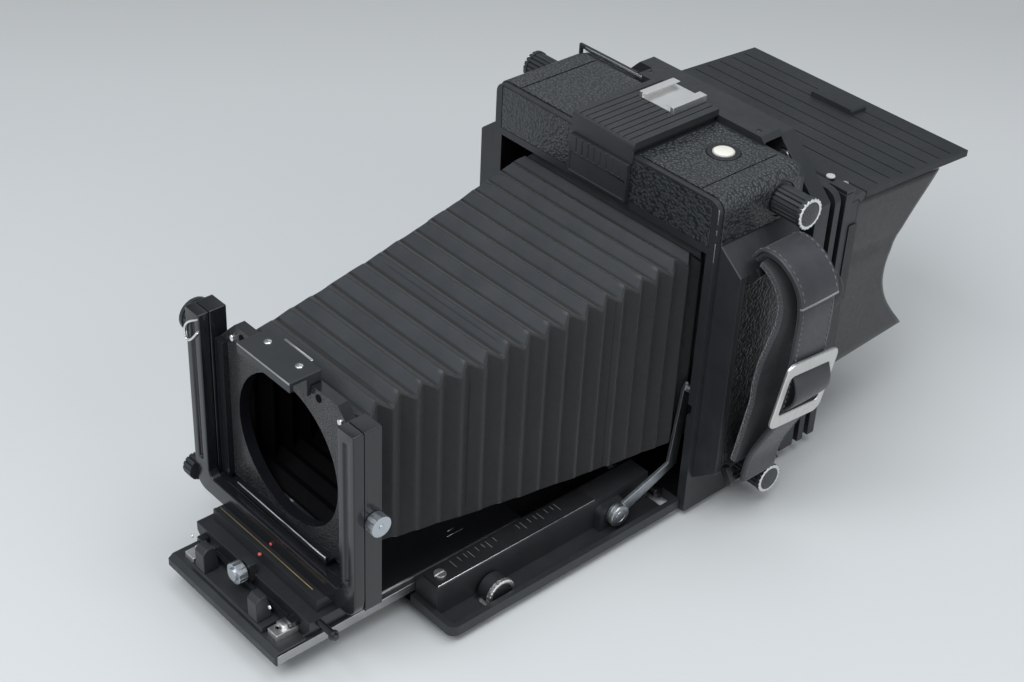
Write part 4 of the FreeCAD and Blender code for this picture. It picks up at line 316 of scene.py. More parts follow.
def finish_mesh(name, mesh, materials, body, smooth=True, sharp=None):
    obj = new_object(name, mesh)
    for key in materials:
        mesh.materials.append(M[key])
    for face in mesh.polygons:
        face.use_smooth = smooth
    if sharp is not None:
        mesh.set_sharp_from_angle(angle=math.radians(sharp))
    if body:
        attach(obj, body)
    return obj


def piece(name, verts, faces, materials, body=None, indices=None, sharp=None, smooth=True):
    mesh = bpy.data.meshes.new(name)
    mesh.from_pydata([tuple(v) for v in verts], [], faces)
    mesh.update()
    if indices:
        for face, index in zip(mesh.polygons, indices):
            face.material_index = index
    return finish_mesh(name, mesh, materials, body, smooth, sharp)


def from_bmesh(name, bm, materials, body=None, smooth=True, sharp=None):
    mesh = bpy.data.meshes.new(name)
    bmesh.ops.recalc_face_normals(bm, faces=bm.faces)
    bm.to_mesh(mesh)
    bm.free()
    return finish_mesh(name, mesh, materials, body, smooth, sharp)


def join_rings(bm, rings, capped):
    """A wall of quads from each ring of corners to the next; a capped one is closed at both ends."""
    for a, b in zip(rings, rings[1:]):
        for i in range(len(a)):
            j = (i + 1) % len(a)
            bm.faces.new((a[i], a[j], b[j], b[i]))
    if capped:
        bm.faces.new(rings[0][::-1])
        bm.faces.new(rings[-1])


def tube_faces(n, rows, closed):
    """Quads through rows of n corners; a closed tube's last row joins its first."""
    faces = []
    for r in range(rows if closed else rows - 1):
        s = (r + 1) % rows
        for i in range(n):
            j = (i + 1) % n
            faces.append((r * n + i, r * n + j, s * n + j, s * n + i))
    return faces


def face_outward(obj):
    """Turns all the faces of a closed mesh outward."""
    bm = bmesh.new()
    bm.from_mesh(obj.data)
    bmesh.ops.recalc_face_normals(bm, faces=bm.faces)
    bm.to_mesh(obj.data)
    bm.free()


def across_axes(axis):
    """Two directions square to an axis and to each other."""
    side = Vector((0, 0, 1)) if abs(axis.z) < 0.9 else Vector((1, 0, 0))
    first = axis.cross(side).normalized()
    return first, axis.cross(first)


def turned(name, profile, centre, axis, mat, body, sides=40, wave=None, sharp=32):
    """A round piece: profile is (along, radius) in millimetres, and wave varies the radius round it."""
    centre, axis = Vector(centre), Vector(axis).normalized()
    first, second = across_axes(axis)
    bm = bmesh.new()
    rings = []
    for along, radius in profile:
        ring = []
        for i in range(sides):
            turn = 2 * math.pi * i / sides
            r = radius * (1 + (wave(turn) if wave else 0.0))
            p = centre + axis * along + (first * math.cos(turn) + second * math.sin(turn)) * r
            ring.append(bm.verts.new(mm(*p)))
        rings.append(ring)
    join_rings(bm, rings, True)
    return from_bmesh(name, bm, [mat], body, True, sharp)


def slab(name, low, high, mat, body, edge=0.15):
    """A small plate with softened edges, given by two corners."""
    bm = bmesh.new()
    bmesh.ops.create_cube(bm, size=1.0)
    for v in bm.verts:
        p = [a if c < 0 else b for a, b, c in zip(low, high, v.co)]
        v.co = mm(*p)
    bmesh.ops.bevel(bm, geom=bm.edges[:], offset=edge / 1000, segments=2, profile=0.5, affect="EDGES")
    return from_bmesh(name, bm, [mat], body, True, 50)


BUTTON_SIDES = 24


def button(name, centre, axis, radius, height, mat, body, dome=0.25):
    """A low round head with a soft rim, such as a rivet, screw or painted dot."""
    soft = min(0.35 * radius, 0.6 * height)
    profile = [(-0.3, radius), (height - soft, radius), (height - soft * 0.3, radius - soft * 0.35),
               (height, radius - soft), (height + dome * 0.7, radius * 0.45),
               (height + dome, radius * 0.1)]
    turned(name, profile, centre, axis, mat, body, BUTTON_SIDES, None, 45)


BOX_CORNERS = ((-1, -1), (1, -1), (1, 1), (-1, 1))
BOX_FACES = ((3, 2, 1, 0), (4, 5, 6, 7), (0, 1, 5, 4), (1, 2, 6, 5), (2, 3, 7, 6), (3, 0, 4, 7))


def screw(name, centre, axis, radius, height, mat, body, turn):
    """A slotted screw head: the slot is a near-black bar let into its face, painted shade for the slot's
    hollow.
    """
    button(name, centre, axis, radius, height, mat, body, 0.05)
    axis = Vector(axis).normalized()
    first, second = across_axes(axis)
    way = first * math.cos(math.radians(turn)) + second * math.sin(math.radians(turn))
    side = axis.cross(way)
    bm = bmesh.new()
    corners = []
    for lift in (height - 0.3, height + 0.07):
        for a, b in BOX_CORNERS:
            p = Vector(centre) + axis * lift + way * a * radius * 0.86 + side * b * radius * 0.13
            corners.append(bm.verts.new(mm(*p)))
    for quad in BOX_FACES:
        bm.faces.new([corners[k] for k in quad])
    from_bmesh(f"{name}_slot", bm, ["dark"], body, False)


def wire(name, points, radius, mat, body):
    """A bent wire along a smooth line through its control points."""
    data = bpy.data.curves.new(name, "CURVE")
    data.dimensions = "3D"
    data.bevel_depth = radius / 1000
    data.bevel_resolution = 3
    data.use_fill_caps = True
    spline = data.splines.new("NURBS")
    spline.points.add(len(points) - 1)
    for point, place in zip(spline.points, points):
        point.co = (*mm(*place), 1.0)
    spline.order_u = 3
    spline.use_endpoint_u = True
    spline.resolution_u = 8
    data.materials.append(M[mat])
    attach(new_object(name, data), body)


# Camera, light and floor
CAMERA_PLACE = (0.5304, -0.57689, 0.59474)
CAMERA_ANGLES = (46.8655, 34.9299, 2.8965)
CAMERA_LENS = 65.20
SHEET_TURN = math.radians(46.9)
AWAY = Vector((-math.sin(SHEET_TURN), math.cos(SHEET_TURN), 0))
PAPER_NEAR, PAPER_FAR = -0.2, 0.7
# Painted light falloff: the paper's colour darkens towards the back, where less light reaches
PAPER_FALLOFF_STOPS = ((0.0, (0.56, 0.57, 0.57)), (0.45, (0.535, 0.545, 0.545)), (0.62, (0.52, 0.525, 0.525)),
               (0.82, (0.46, 0.465, 0.465)))
SWEEP_START, SWEEP_BEND, SWEEP_RADIUS, SWEEP_TOP, SWEEP_HALF = -3.0, 2.2, 1.6, 4.5, 6.0
SWEEP_STEPS, PAPER_DROP = 40, 0.0002
WORLD_COLOR, WORLD_STRENGTH = (0.85, 0.92, 1.0, 1.0), 0.40
COOL_WHITE = (0.95, 0.98, 1.0)
# Each as (name, place, target, width, height, power, colour)
LIGHTS = (
    ("key_softbox", (0.15, -1.15, 1.5), (0.05, -0.05, 0.05), 1.3, 1.1, 24.0, COOL_WHITE),
    ("top_softbox", (0.3, 0.2, 1.9), (0.05, 0.0, 0.05), 1.4, 1.4, 16.0, COOL_WHITE),
    ("rear_softbox", (-1.25, 1.25, 1.35), (0, 0, 0.12), 1.1, 0.8, 1.4, (0.96, 0.98, 1.0)),
    ("right_fill", (1.7, 0.1, 0.9), (0, 0, 0.1), 1.0, 1.0, 9.0, (1.0, 1.0, 1.0)))


def make_camera():
    data = bpy.data.cameras.new("photo_camera")
    data.sensor_width = 36.0
    data.lens = CAMERA_LENS
    data.clip_start = 0.05
    data.clip_end = 30.0
    camera = new_object("photo_camera", data)
    az, el, roll = (math.radians(v) for v in CAMERA_ANGLES)
    back = Vector((math.sin(az) * math.cos(el), -math.cos(az) * math.cos(el), math.sin(el)))
    right = Vector((0, 0, 1)).cross(back).normalized()
    up = back.cross(right)
    turned_right = right * math.cos(roll) + up * math.sin(roll)
    turned_up = up * math.cos(roll) - right * math.sin(roll)
    matrix = Matrix((turned_right, turned_up, back)).transposed().to_4x4()
    matrix.translation = Vector(CAMERA_PLACE)
    camera.matrix_world = matrix
    bpy.context.scene.camera = camera


def area_light(name, place, target, width, height, power, color):
    data = bpy.data.lights.new(name, "AREA")
    data.shape = "RECTANGLE"
    data.size, data.size_y = width, height
    data.energy = power
    data.color = color
    light = new_object(name, data)
    light.location = place
    light.rotation_euler = (Vector(target) - Vector(place)).to_track_quat("-Z", "Y").to_euler()


def paper_material():
    """Pale grey paper, with the light's falloff painted in: it darkens slowly towards the back of the set.
    """
    mat, tree, shader = new_material("studio_paper", PAPER_FALLOFF_STOPS[0][1], 0.8, specular=0.15)
    coord = tree.nodes.new("ShaderNodeTexCoord")
    away = node(tree, "ShaderNodeVectorMath")
    away.operation = "DOT_PRODUCT"
    away.inputs[1].default_value = AWAY
    tree.links.new(coord.outputs["Object"], away.inputs[0])
    span = node(tree, "ShaderNodeMapRange")
    span.inputs["From Min"].default_value = PAPER_NEAR
    span.inputs["From Max"].default_value = PAPER_FAR
    tree.links.new(away.outputs["Value"], span.inputs["Value"])
    color = ramp(tree, span.outputs["Result"], PAPER_FALLOFF_STOPS)
    mottle = ramp(tree, noise(tree, place_vector(tree), 1.3, 2.0), [(0.3, 0.985), (0.7, 1.0)])
    mixed = tree.nodes.new("ShaderNodeVectorMath")
    mixed.operation = "MULTIPLY"
    tree.links.new(color, mixed.inputs[0])
    tree.links.new(mottle, mixed.inputs[1])
    tree.links.new(mixed.outputs["Vector"], shader.inputs["Base Color"])
    return mat


def make_stage():
    """A pale grey sweep: flat under the camera and rising far behind it."""
    profile = []
    for i in range(SWEEP_STEPS + 1):
        share = i / SWEEP_STEPS
        if share < 0.5:
            profile.append((SWEEP_START + share * 2 * (SWEEP_BEND - SWEEP_START), 0.0))
        else:
            turn = (share - 0.5) * math.pi
            along = SWEEP_BEND + SWEEP_RADIUS * math.sin(turn)
            profile.append((along, SWEEP_RADIUS * (1 - math.cos(turn))))
    profile.append((SWEEP_BEND + SWEEP_RADIUS, SWEEP_TOP))
    across = Vector((AWAY.y, -AWAY.x, 0))
    verts = [AWAY * along + across * side + Vector((0, 0, up - PAPER_DROP))
             for along, up in profile for side in (-SWEEP_HALF, SWEEP_HALF)]
    faces = [(2 * i, 2 * i + 1, 2 * i + 3, 2 * i + 2) for i in range(len(profile) - 1)]
    M["paper"] = paper_material()
    obj = piece("studio_sweep", verts, faces, ["paper"])
    world = bpy.data.worlds.new("studio_world")
    world.use_nodes = True
    background = world.node_tree.nodes["Background"]
    background.inputs["Color"].default_value = WORLD_COLOR
    background.inputs["Strength"].default_value = WORLD_STRENGTH
    bpy.context.scene.world = world
    for light in LIGHTS:
        area_light(*light)
    view = bpy.context.scene.view_settings
    view.view_transform = "Standard"
    view.look = "None"
    view.exposure = 0.0


make_camera()
make_stage()


# Front bellows
# Folds are counted from the wide end. Ridges above and below are at whole counts, the sides' at halves.
BELLOWS_END, BELLOWS_FRONT, BELLOWS_LENGTH = 45.0, -177.1, 177.0
FIRST_SEEN, FOLDS_INSIDE, FOLDS = 4.1, 5, 22.2
# A fold's distance from the first one seen is a cubic of the count between them.
FOLD_PACE, PACE_GROWTH, PACE_EASING = 8.843, 0.148, 0.00283
# Each as (at the casing's front, at the lens)
BELLOWS_HALF, BELLOWS_TOP, BELLOWS_BOTTOM = (61.5, 41.1), (140.1, 121.2), (29.5, 44.6)
BELLOWS_SAG, SAG_LIFT = 2.3, 1.1
BELLOWS_DEPTH, BELLOWS_CORNER, FOLD_SLACK, SKIN = 4.0, 1.1, 0.5, 0.7
# SHADED_DEPTH: on a front flank, the fold depth past which the painted fold shade begins
CREASE, SHADED_DEPTH = 0.09, 0.84
RING_SHARES = (0.0, 0.04, 0.12, 0.3, 0.5, 0.7, 0.88, 0.96, 1.0)
FOLD_STEPS = (0.0, 0.02, 0.045, 0.14, 0.25, 0.36, 0.41, 0.455, 0.48, 0.5, 0.52, 0.545, 0.64, 0.75, 0.86,
              0.91, 0.955, 0.98)
# Each section's first and last count
BELLOWS_MARKS = {"casing": (0.0, 2.0), "bed": (2.0, 9.7), "track": (9.7, 15.2), "shift": (15.2, 16.9),
                 "swing": (16.9, 18.6), "rise": (18.6, 20.4), "tilt": (20.4, FOLDS)}
# The bodies that a section bridges
BELLOWS_BRIDGES = {"casing": ("casing", "bed"), "shift": ("standard", "carriage"),
                   "swing": ("carriage", "swinging_frame"), "rise": ("swinging_frame", "rising_frame"),
                   "tilt": ("rising_frame", "lens_holder")}
# The sections that fold up, the joint that closes each, and the joint's travel
BELLOWS_TRAVEL = (("bed", "focus_slide", 60.0), ("track", "standard_slide", 50.0))


def fold_y(count):
    """Where a fold lies: the folds are closer together at the casing than at the lens."""
    if count < FOLDS_INSIDE:
        return FIRST_SEEN + (BELLOWS_END - FIRST_SEEN) * (FOLDS_INSIDE - count) / FOLDS_INSIDE
    k = min(count, FOLDS) - FOLDS_INSIDE
    y = FIRST_SEEN - (FOLD_PACE * k + PACE_GROWTH * k ** 2 - PACE_EASING * k ** 3)
    return max(BELLOWS_FRONT, y)


def fold_depth(count):
    """0 on a ridge and 1 in a valley, with a small round at both."""
    away = 2 * abs(count - round(count))
    if away < CREASE:
        return CREASE / 2 + away ** 2 / (2 * CREASE)
    if away > 1 - CREASE:
        return 1 - CREASE / 2 - (1 - away) ** 2 / (2 * CREASE)
    return away


def unevenness(count):
    """How far a fold stands out of line, as folds made by hand do."""
    return 0.12 * math.sin(count * 2.3 + 0.7) + 0.08 * math.sin(count * 5.1)


def bellows_ring(count, inset):
    """One ring of the bellows: wide where the sides fold out, and tall where the top and bottom do."""
    y = fold_y(count)
    t = min(1.0, max(0.0, -y / BELLOWS_LENGTH))
    uneven = unevenness(count)
    deep, deep_side = BELLOWS_DEPTH * fold_depth(count), BELLOWS_DEPTH * fold_depth(count + 0.5)
    sag = SAG_LIFT - BELLOWS_SAG * 4 * t * (1 - t)
    half, high, low = (wide + (narrow - wide) * t
                       for wide, narrow in (BELLOWS_HALF, BELLOWS_TOP, BELLOWS_BOTTOM))
    half += uneven - deep_side - inset
    high += sag + uneven - deep - inset
    low += sag + deep + inset - uneven
    corners = ((half, low), (half, high), (-half, high), (-half, low))
    points = []
    for index in range(4):
        a, b = Vector(corners[index]), Vector(corners[(index + 1) % 4])
        way = (b - a).normalized()
        outward = Vector((way.y, -way.x))
        own = fold_depth(count + (0.5 if index in (0, 2) else 0.0))
        start, finish = a + way * BELLOWS_CORNER, b - way * BELLOWS_CORNER
        for share in RING_SHARES:
            slack = FOLD_SLACK * own * math.sin(math.pi * share)
            points.append(start + (finish - start) * share - outward * slack)
    return [mm(p.x, y, p.y) for p in points]


def in_painted_fold_shade(count):
    """Whether a place is on a fold's rear flank or near its valley, where the fold's shade is painted in
    with a darker colour.
    """
    return count % 1.0 > 0.5 or fold_depth(count) > SHADED_DEPTH


def bellows_section(name, first, last):
    """A closed sleeve between two counts: the outer skin, then the black lining back to the start, painted
    darker still as the shade inside.
    """
    counts = sorted({first, last} | {whole + step for whole in range(int(first), int(last) + 1)
                                     for step in FOLD_STEPS if first + 0.01 < whole + step < last - 0.01})
    outer = [bellows_ring(count, 0.0) for count in counts]
    inner = [bellows_ring(count, SKIN) for count in reversed(counts)]
    rings = outer + inner
    n = len(rings[0])
    materials = ["bellows", "dark", "fold_shade", "bellows_side_shade"]
    indices = []
    for r in range(len(rings)):
        for i in range(n):
            on_side = i // len(RING_SHARES) in (0, 2)
            # Painted shade: the lining gets the near-black finish, darker than its own black, for the shade
            # inside the bellows
            if r >= len(outer) - 1:
                key = "dark"
            # Painted shade: rear flanks and the parts near the valleys get the darker fold colour
            elif in_painted_fold_shade((counts[r] + counts[r + 1]) / 2 + (0.5 if on_side else 0.0)):
                key = "fold_shade"
            else:
                # Painted shade: the sides get a darker copy of the skin colour than the top and bottom
                key = "bellows_side_shade" if on_side else "bellows"
            indices.append(materials.index(key))
    faces = tube_faces(n, len(rings), True)
    obj = piece(name, [v for ring in rings for v in ring], faces, materials, None, indices, 48)
    face_outward(obj)
    return obj


def make_bellows():
    """The front bellows in sections: two are attached to the bed and the track, the others are fixed in
    place.
    """
    sections = {key: bellows_section(f"bellows_{key}_part", *marks) for key, marks in BELLOWS_MARKS.items()}
    for key, (a, b) in BELLOWS_BRIDGES.items():
        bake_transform(sections[key])
    for key, joint, travel in BELLOWS_TRAVEL:
        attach(sections[key], key)
        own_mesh(sections[key])
    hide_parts("front_bellows")


# Bellows behind the casing
REAR_START, REAR_PITCH, REAR_DEPTH = 57.2, 6.65, 1.2
REAR_HALF, REAR_LOW, REAR_HIGH, REAR_CORNER, REAR_SKIN = 62.5, 16.0, 160.0, 5.0, 0.8
# Each as (section, start, finish, steps, the bodies that it bridges)
REAR_SECTIONS = (("draw", REAR_START, 59.9, 4, "casing", "rods"), ("swing", 59.9, 65.3, 7, "rods", "cups"),
                 ("tilt", 65.3, 70.5, 7, "cups", "back"))


def rear_ring(y, depth):
    half, low, high, cut = REAR_HALF - depth, REAR_LOW + depth, REAR_HIGH - depth, REAR_CORNER
    points = [(half, low + cut), (half, high - cut), (half - cut, high), (cut - half, high),
              (-half, high - cut), (-half, low + cut), (cut - half, low), (half - cut, low)]
    return [mm(x, y, z) for x, z in points]


def make_rear_bellows():
    """The short bellows between the casing and the back, in three sections."""
    for key, start, finish, count, a, b in REAR_SECTIONS:
        places = [start + (finish - start) * i / count for i in range(count + 1)]
        waves = [REAR_DEPTH * (1 - math.cos((y - REAR_START) / REAR_PITCH * 2 * math.pi)) for y in places]
        rings = [rear_ring(y, wave) for y, wave in zip(places, waves)]
        rings += [rear_ring(y, wave + REAR_SKIN) for y, wave in zip(reversed(places), reversed(waves))]
        faces = tube_faces(len(rings[0]), len(rings), True)
        obj = piece(f"rear_bellows_{key}_part", [v for r in rings for v in r], faces, ["bellows"],
                    smooth=False)
        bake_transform(obj)
        if key == "draw":
            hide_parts("rear_bellows")


make_bellows()
make_rear_bellows()


# Hand strap
# Its routes are (outward, up) places in the upright plane y = STRAP_LINE.
STRAP_LINE, STRAP_WIDTH = 25.0, 25.0
STRAP_WALL, STRAP_HIGH, STRAP_LOW = 89.0, 146.0, 27.0
ROUTE_STEP, BEND_SHARE, BEND_STEPS, TINY = 1.0, 0.45, 8, 1e-9
RIM_STEPS, FACE_STEPS, INNER_CROWN, RIM_SHARE = 6, 9, 0.4, 0.955
STITCH_SPACING, STITCH_LENGTH, STITCH_HALF, STITCH_HEIGHT = 3.0, 2.1, 0.36, 0.32
STITCH_LIFT, STITCH_DIP, STITCH_SIDES = 0.10, 0.22, 6
# A stitch from end to end, as (along, size)
STITCH_FORM = ((-1, 0.15), (-0.6, 0.8), (0, 1), (0.6, 0.8), (1, 0.15))
SEAM_HEIGHT, SEAM_OUT = 137, 109
PAD_WIDTH, PAD_THICK, PAD_SWELL = 38.0, 3.6, 21.0
BUCKLE_WIDTH, BUCKLE_HEIGHT, BUCKLE_THICK, BUCKLE_TILT = 36.5, 37.5, 1.6, math.radians(6)
BUCKLE_BAR, BUCKLE_SIDE, BUCKLE_UP = 7.4, 4.0, 90.0
BUCKLE_LIFT, BUCKLE_SHIFT = 1.95, Vector((0, -0.8, 0))
LAYER_LIFT, EDGE_LIFT = 1.9, 1.95
TONGUE_LOW, TONGUE_HIGH, TONGUE_OUT, TONGUE_BULGE = 79.0, 101.5, 100, 5.2


def rounded_route(points):
    """The route's straight runs joined by curves, sampled evenly: (place, direction) pairs."""
    points = [Vector(p) for p in points]
    path = [points[0]]
    for i in range(1, len(points) - 1):
        before, after = points[i] - points[i - 1], points[i + 1] - points[i]
        setback = BEND_SHARE * min(before.length, after.length)
        start = points[i] - before.normalized() * setback
        finish = points[i] + after.normalized() * setback
        for k in range(BEND_STEPS + 1):
            t = k / BEND_STEPS
            path.append(start.lerp(points[i], t).lerp(points[i].lerp(finish, t), t))
    path.append(points[-1])
    lengths = [0.0]
    for a, b in zip(path, path[1:]):
        lengths.append(lengths[-1] + (b - a).length)
    count = max(4, int(lengths[-1] / ROUTE_STEP))
    spots = []
    for i in range(count + 1):
        want = lengths[-1] * i / count
        k = min(max(j for j in range(len(lengths)) if lengths[j] <= want + TINY), len(path) - 2)
        gap = lengths[k + 1] - lengths[k]
        spots.append(path[k].lerp(path[k + 1], (want - lengths[k]) / gap if gap > TINY else 0.0))
    last = len(spots) - 1
    return [(spots[i], (spots[min(last, i + 1)] - spots[max(0, i - 1)]).normalized())
            for i in range(last + 1)]


def section_outline(width, thickness, crown, edge):
    """A band's cross-section: (across, out) points with rounded edges and a slightly proud middle."""
    half, t = width / 2, thickness / 2
    points = []
    for side in (1, -1):
        for k in range(RIM_STEPS + 1):
            turn = -side * math.pi / 2 + math.pi * k / RIM_STEPS
            points.append((side * (half - edge) + edge * math.cos(turn), t * math.sin(turn)))
        for k in range(1, FACE_STEPS):
            s = side * (1 - 2 * k / FACE_STEPS)
            rise = t + crown * (1 - s * s) if side == 1 else -t - crown * INNER_CROWN * (1 - s * s)
            points.append((s * (half - edge), rise))
    return points


def band(name, samples, outline, materials, lift=0.0, taper=None, edge_index=0):
    """A strap swept along its samples; its rims may have their own material."""
    verts, indices = [], []
    n, rows = len(outline), len(samples)
    widest = max(across for across, _ in outline)
    for i, (spot, way) in enumerate(samples):
        out = Vector((-way.y, way.x))
        share = i / (rows - 1)
        for across, proud in outline:
            p = spot + out * (proud + (lift(share) if callable(lift) else lift))
            verts.append(mm(p.x, STRAP_LINE + (taper(share, across) if taper else across), p.y))
    for i in range(n):
        rim = min(abs(outline[i][0]), abs(outline[(i + 1) % n][0])) > widest * RIM_SHARE
        indices.append(edge_index if rim else 0)
    faces, indices = tube_faces(n, rows, False), indices * (rows - 1)
    faces.append(tuple(range(n))[::-1])
    faces.append(tuple((rows - 1) * n + i for i in range(n)))
    indices += [0, 0]
    obj = piece(name, verts, faces, materials, "casing", indices)
    face_outward(obj)
    return obj


def stitches(name, samples, offsets, height):
    """Short raised stitches along the band's outer face."""
    bm = bmesh.new()
    every = max(1, int(round(STITCH_SPACING / (samples[1][0] - samples[0][0]).length)))
    for i in range(2, len(samples) - 2, every):
        spot, way = samples[i]
        out = Vector((-way.y, way.x))
        p = spot + out * height
        along, normal, side = Vector((way.x, 0, way.y)), Vector((out.x, 0, out.y)), Vector((0, 1, 0))
        for across in offsets:
            centre = mm(p.x, STRAP_LINE + across, p.y)
            rows = []
            for u, s in STITCH_FORM:
                lift = STITCH_LIFT - STITCH_DIP * u * u
                ring = []
                for a in range(STITCH_SIDES):
                    turn = 2 * math.pi * a / STITCH_SIDES
                    shift = (along * u * STITCH_LENGTH / 2 + side * math.cos(turn) * s * STITCH_HALF
                             + normal * (math.sin(turn) * s * STITCH_HEIGHT + lift))
                    ring.append(bm.verts.new(centre + shift / 1000))
                rows.append(ring)
            join_rings(bm, rows, True)
    obj = from_bmesh(name, bm, ["thread"], "casing")


def strap_route():
    """The strap's route, and the ends of the straight run where the buckle sits."""
    wall, high, low = STRAP_WALL, STRAP_HIGH, STRAP_LOW
    bow, foot = wall + 27.0, wall + 8.3
    upper, lower = (bow, low + 0.65 * (high - low)), (bow - 3.6, low + 0.37 * (high - low))
    route = [(wall - 0.5, high + 3.5), (wall + 3.6, high + 9.3), (wall + 12, high + 9),
             (wall + 20, high + 4.5), (bow - 1.2, high - 3), (bow + 0.6, high - 13), upper, lower,
             (foot + 7.2, low + 28), (foot + 1.6, low + 15), (foot, low)]
    return route, upper, lower


def make_strap(samples):
    """The strap and its stitches. A second layer ends in a cut edge on the bend."""
    strap = band("strap_band", samples, section_outline(STRAP_WIDTH - 1.6, 2.6, 0.25, 0.9), ["strap"])
    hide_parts("hand_strap")
    seam = next(i for i, (spot, _) in enumerate(samples) if spot.y < SEAM_HEIGHT and spot.x > SEAM_OUT)
    band("strap_upper_layer", samples[:seam], section_outline(STRAP_WIDTH + 0.4, 1.5, 0.2, 0.7), ["strap"],
         LAYER_LIFT)
    # The cut edge is pale leather, and its colour is painted paler still as a highlight along the rim
    band("strap_layer_edge", samples[seam - 2:seam], section_outline(STRAP_WIDTH + 0.5, 1.75, 0.2, 0.7),
         ["cut_edge_highlight"], EDGE_LIFT)
    stitches("strap_upper_stitches", samples[:seam - 1], (-10.9, 10.9), 2.75)
    stitches("strap_lower_stitches", samples[seam + 1:], (-10.2, 10.2), 1.38)


def pad_waist(share, across):
    """The pad narrows to its ends, and its rear rim stands out behind the strap's bend."""
    flare = 9.0 * math.exp(-((share - 0.26) / 0.13) ** 2) if across > 0 else 0.0
    narrowing = 0.80 + 0.20 * math.sin(math.pi * min(1.0, share * 1.05))
    return across * narrowing + flare * across / (PAD_WIDTH / 2)


def make_pad():
    """The padded inner layer, with a paler edge."""
    wall, high, low = STRAP_WALL, STRAP_HIGH, STRAP_LOW
    swell = wall + PAD_SWELL
    route = [(wall + 4.8, high + 5.1), (wall + 11, high + 3.2), (wall + 17, high - 1.5),
             (swell - 0.2, high - 9), (swell, high - 18), (swell - 2.6, high - 29), (swell - 6, high - 42),
             (swell - 7.8, high - 57), (wall + 13, high - 65), (wall + 10.6, low + 42),
             (wall + 7, low + 26), (wall + 4, low + 12)]
    pad = band("strap_pad_band", rounded_route(route), section_outline(PAD_WIDTH, PAD_THICK, 0.5, 1.5),
               ["suede", "suede_edge"], taper=pad_waist, edge_index=1)
    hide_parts("strap_pad")


def make_buckle(upper, lower):
    """The flat plated buckle with round corners, on the straight run between two places."""
    run = Vector((upper[0] - lower[0], 0, upper[1] - lower[1]))
    seat = Vector((lower[0], 0, lower[1])) + run * ((BUCKLE_UP - lower[1]) / run.z)
    run.normalize()
    out = Vector((run.z, 0, -run.x))
    seat += out * BUCKLE_LIFT + BUCKLE_SHIFT
    along = run * math.cos(BUCKLE_TILT) + Vector((0, 1, 0)) * math.sin(BUCKLE_TILT)
    across = out.cross(along) * -1
    bm = bmesh.new()

    def loop(half_w, half_h, radius, depth):
        ring = []
        for cx, cz, start in ((1, 1, 0), (-1, 1, 90), (-1, -1, 180), (1, -1, 270)):
            for k in range(7):
                turn = math.radians(start + 15 * k)
                u = cx * (half_w - radius) + radius * math.cos(turn)
                v = cz * (half_h - radius) + radius * math.sin(turn)
                p = seat + across * u + along * v + out * depth
                ring.append(bm.verts.new(mm(p.x, STRAP_LINE + p.y, p.z)))
        return ring

    w, h, thick = BUCKLE_WIDTH / 2, BUCKLE_HEIGHT / 2, BUCKLE_THICK
    hole_w, hole_h = w - BUCKLE_SIDE, h - BUCKLE_BAR
    loops = [loop(w - 0.35, h - 0.35, 4.8, 0.0), loop(w, h, 5.0, 0.35), loop(w, h, 5.0, thick - 0.4),
             loop(w - 0.4, h - 0.4, 4.7, thick), loop(hole_w + 0.35, hole_h + 0.35, 2.6, thick),
             loop(hole_w, hole_h, 2.4, thick - 0.35), loop(hole_w, hole_h, 2.4, 0.3),
             loop(hole_w + 0.3, hole_h + 0.3, 2.6, 0.0)]
    join_rings(bm, loops + loops[:1], False)
    buckle = from_bmesh("strap_buckle_frame", bm, ["brushed"], "casing", True, 40)
    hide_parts("strap_buckle")


def make_tongue(samples):
    """The strap's outer layer, where it bulges through the buckle."""
    window = [s for s in samples if TONGUE_LOW < s[0].y < TONGUE_HIGH and s[0].x > TONGUE_OUT]
    band("strap_tongue", window, section_outline(STRAP_WIDTH - 0.8, 1.5, 0.3, 0.7), ["strap"],
         lambda share: 0.9 + TONGUE_BULGE * math.sin(math.pi * share) ** 0.8,
         lambda share, across: across + 1.6)


route, run_top, run_foot = strap_route()
strap_samples = rounded_route(route)
make_strap(strap_samples)
make_pad()
make_buckle(run_top, run_foot)
make_tongue(strap_samples)


# Hood cloths
HOOD_REAR, HOOD_LOW, HOOD_TOP, HOOD_HALF = 104.5, 41.0, 140.0, 72.3
CLOTH_ROWS, CLOTH_COLUMNS, CLOTH_THICKNESS = 26, 22, 0.0007
CLOTH_REACH, CLOTH_HOLLOW, CLOTH_FLARE, CLOTH_SAG = 57.5, 25.5, 8.5, 1.4
CREASE_HEIGHT, CREASE_FALL, CREASE_WIDTH, CREASE_DEPTH = 108.0, 6.0, 3.2, 1.5


def cloth_place(sign, t, s):
    """A place on a hood cloth: t goes from its bottom to its top, and s from the frame to its rear edge."""
    reach = CLOTH_REACH - CLOTH_HOLLOW * math.sin(math.pi * t ** 0.9) ** 1.15 + CLOTH_FLARE * t
    z = HOOD_LOW + (HOOD_TOP - HOOD_LOW) * t + 3.5 * (1 - t) * s - 5.2 * s * t
    crease = math.exp(-((z - CREASE_HEIGHT + CREASE_FALL * s) / CREASE_WIDTH) ** 2)
    crease *= CREASE_DEPTH * (1 - 0.55 * s)
    sag = CLOTH_SAG * math.sin(math.pi * t) * math.sin(math.pi * s * 0.5)
    return mm(sign * (HOOD_HALF - crease - sag), HOOD_REAR + reach * s, z)


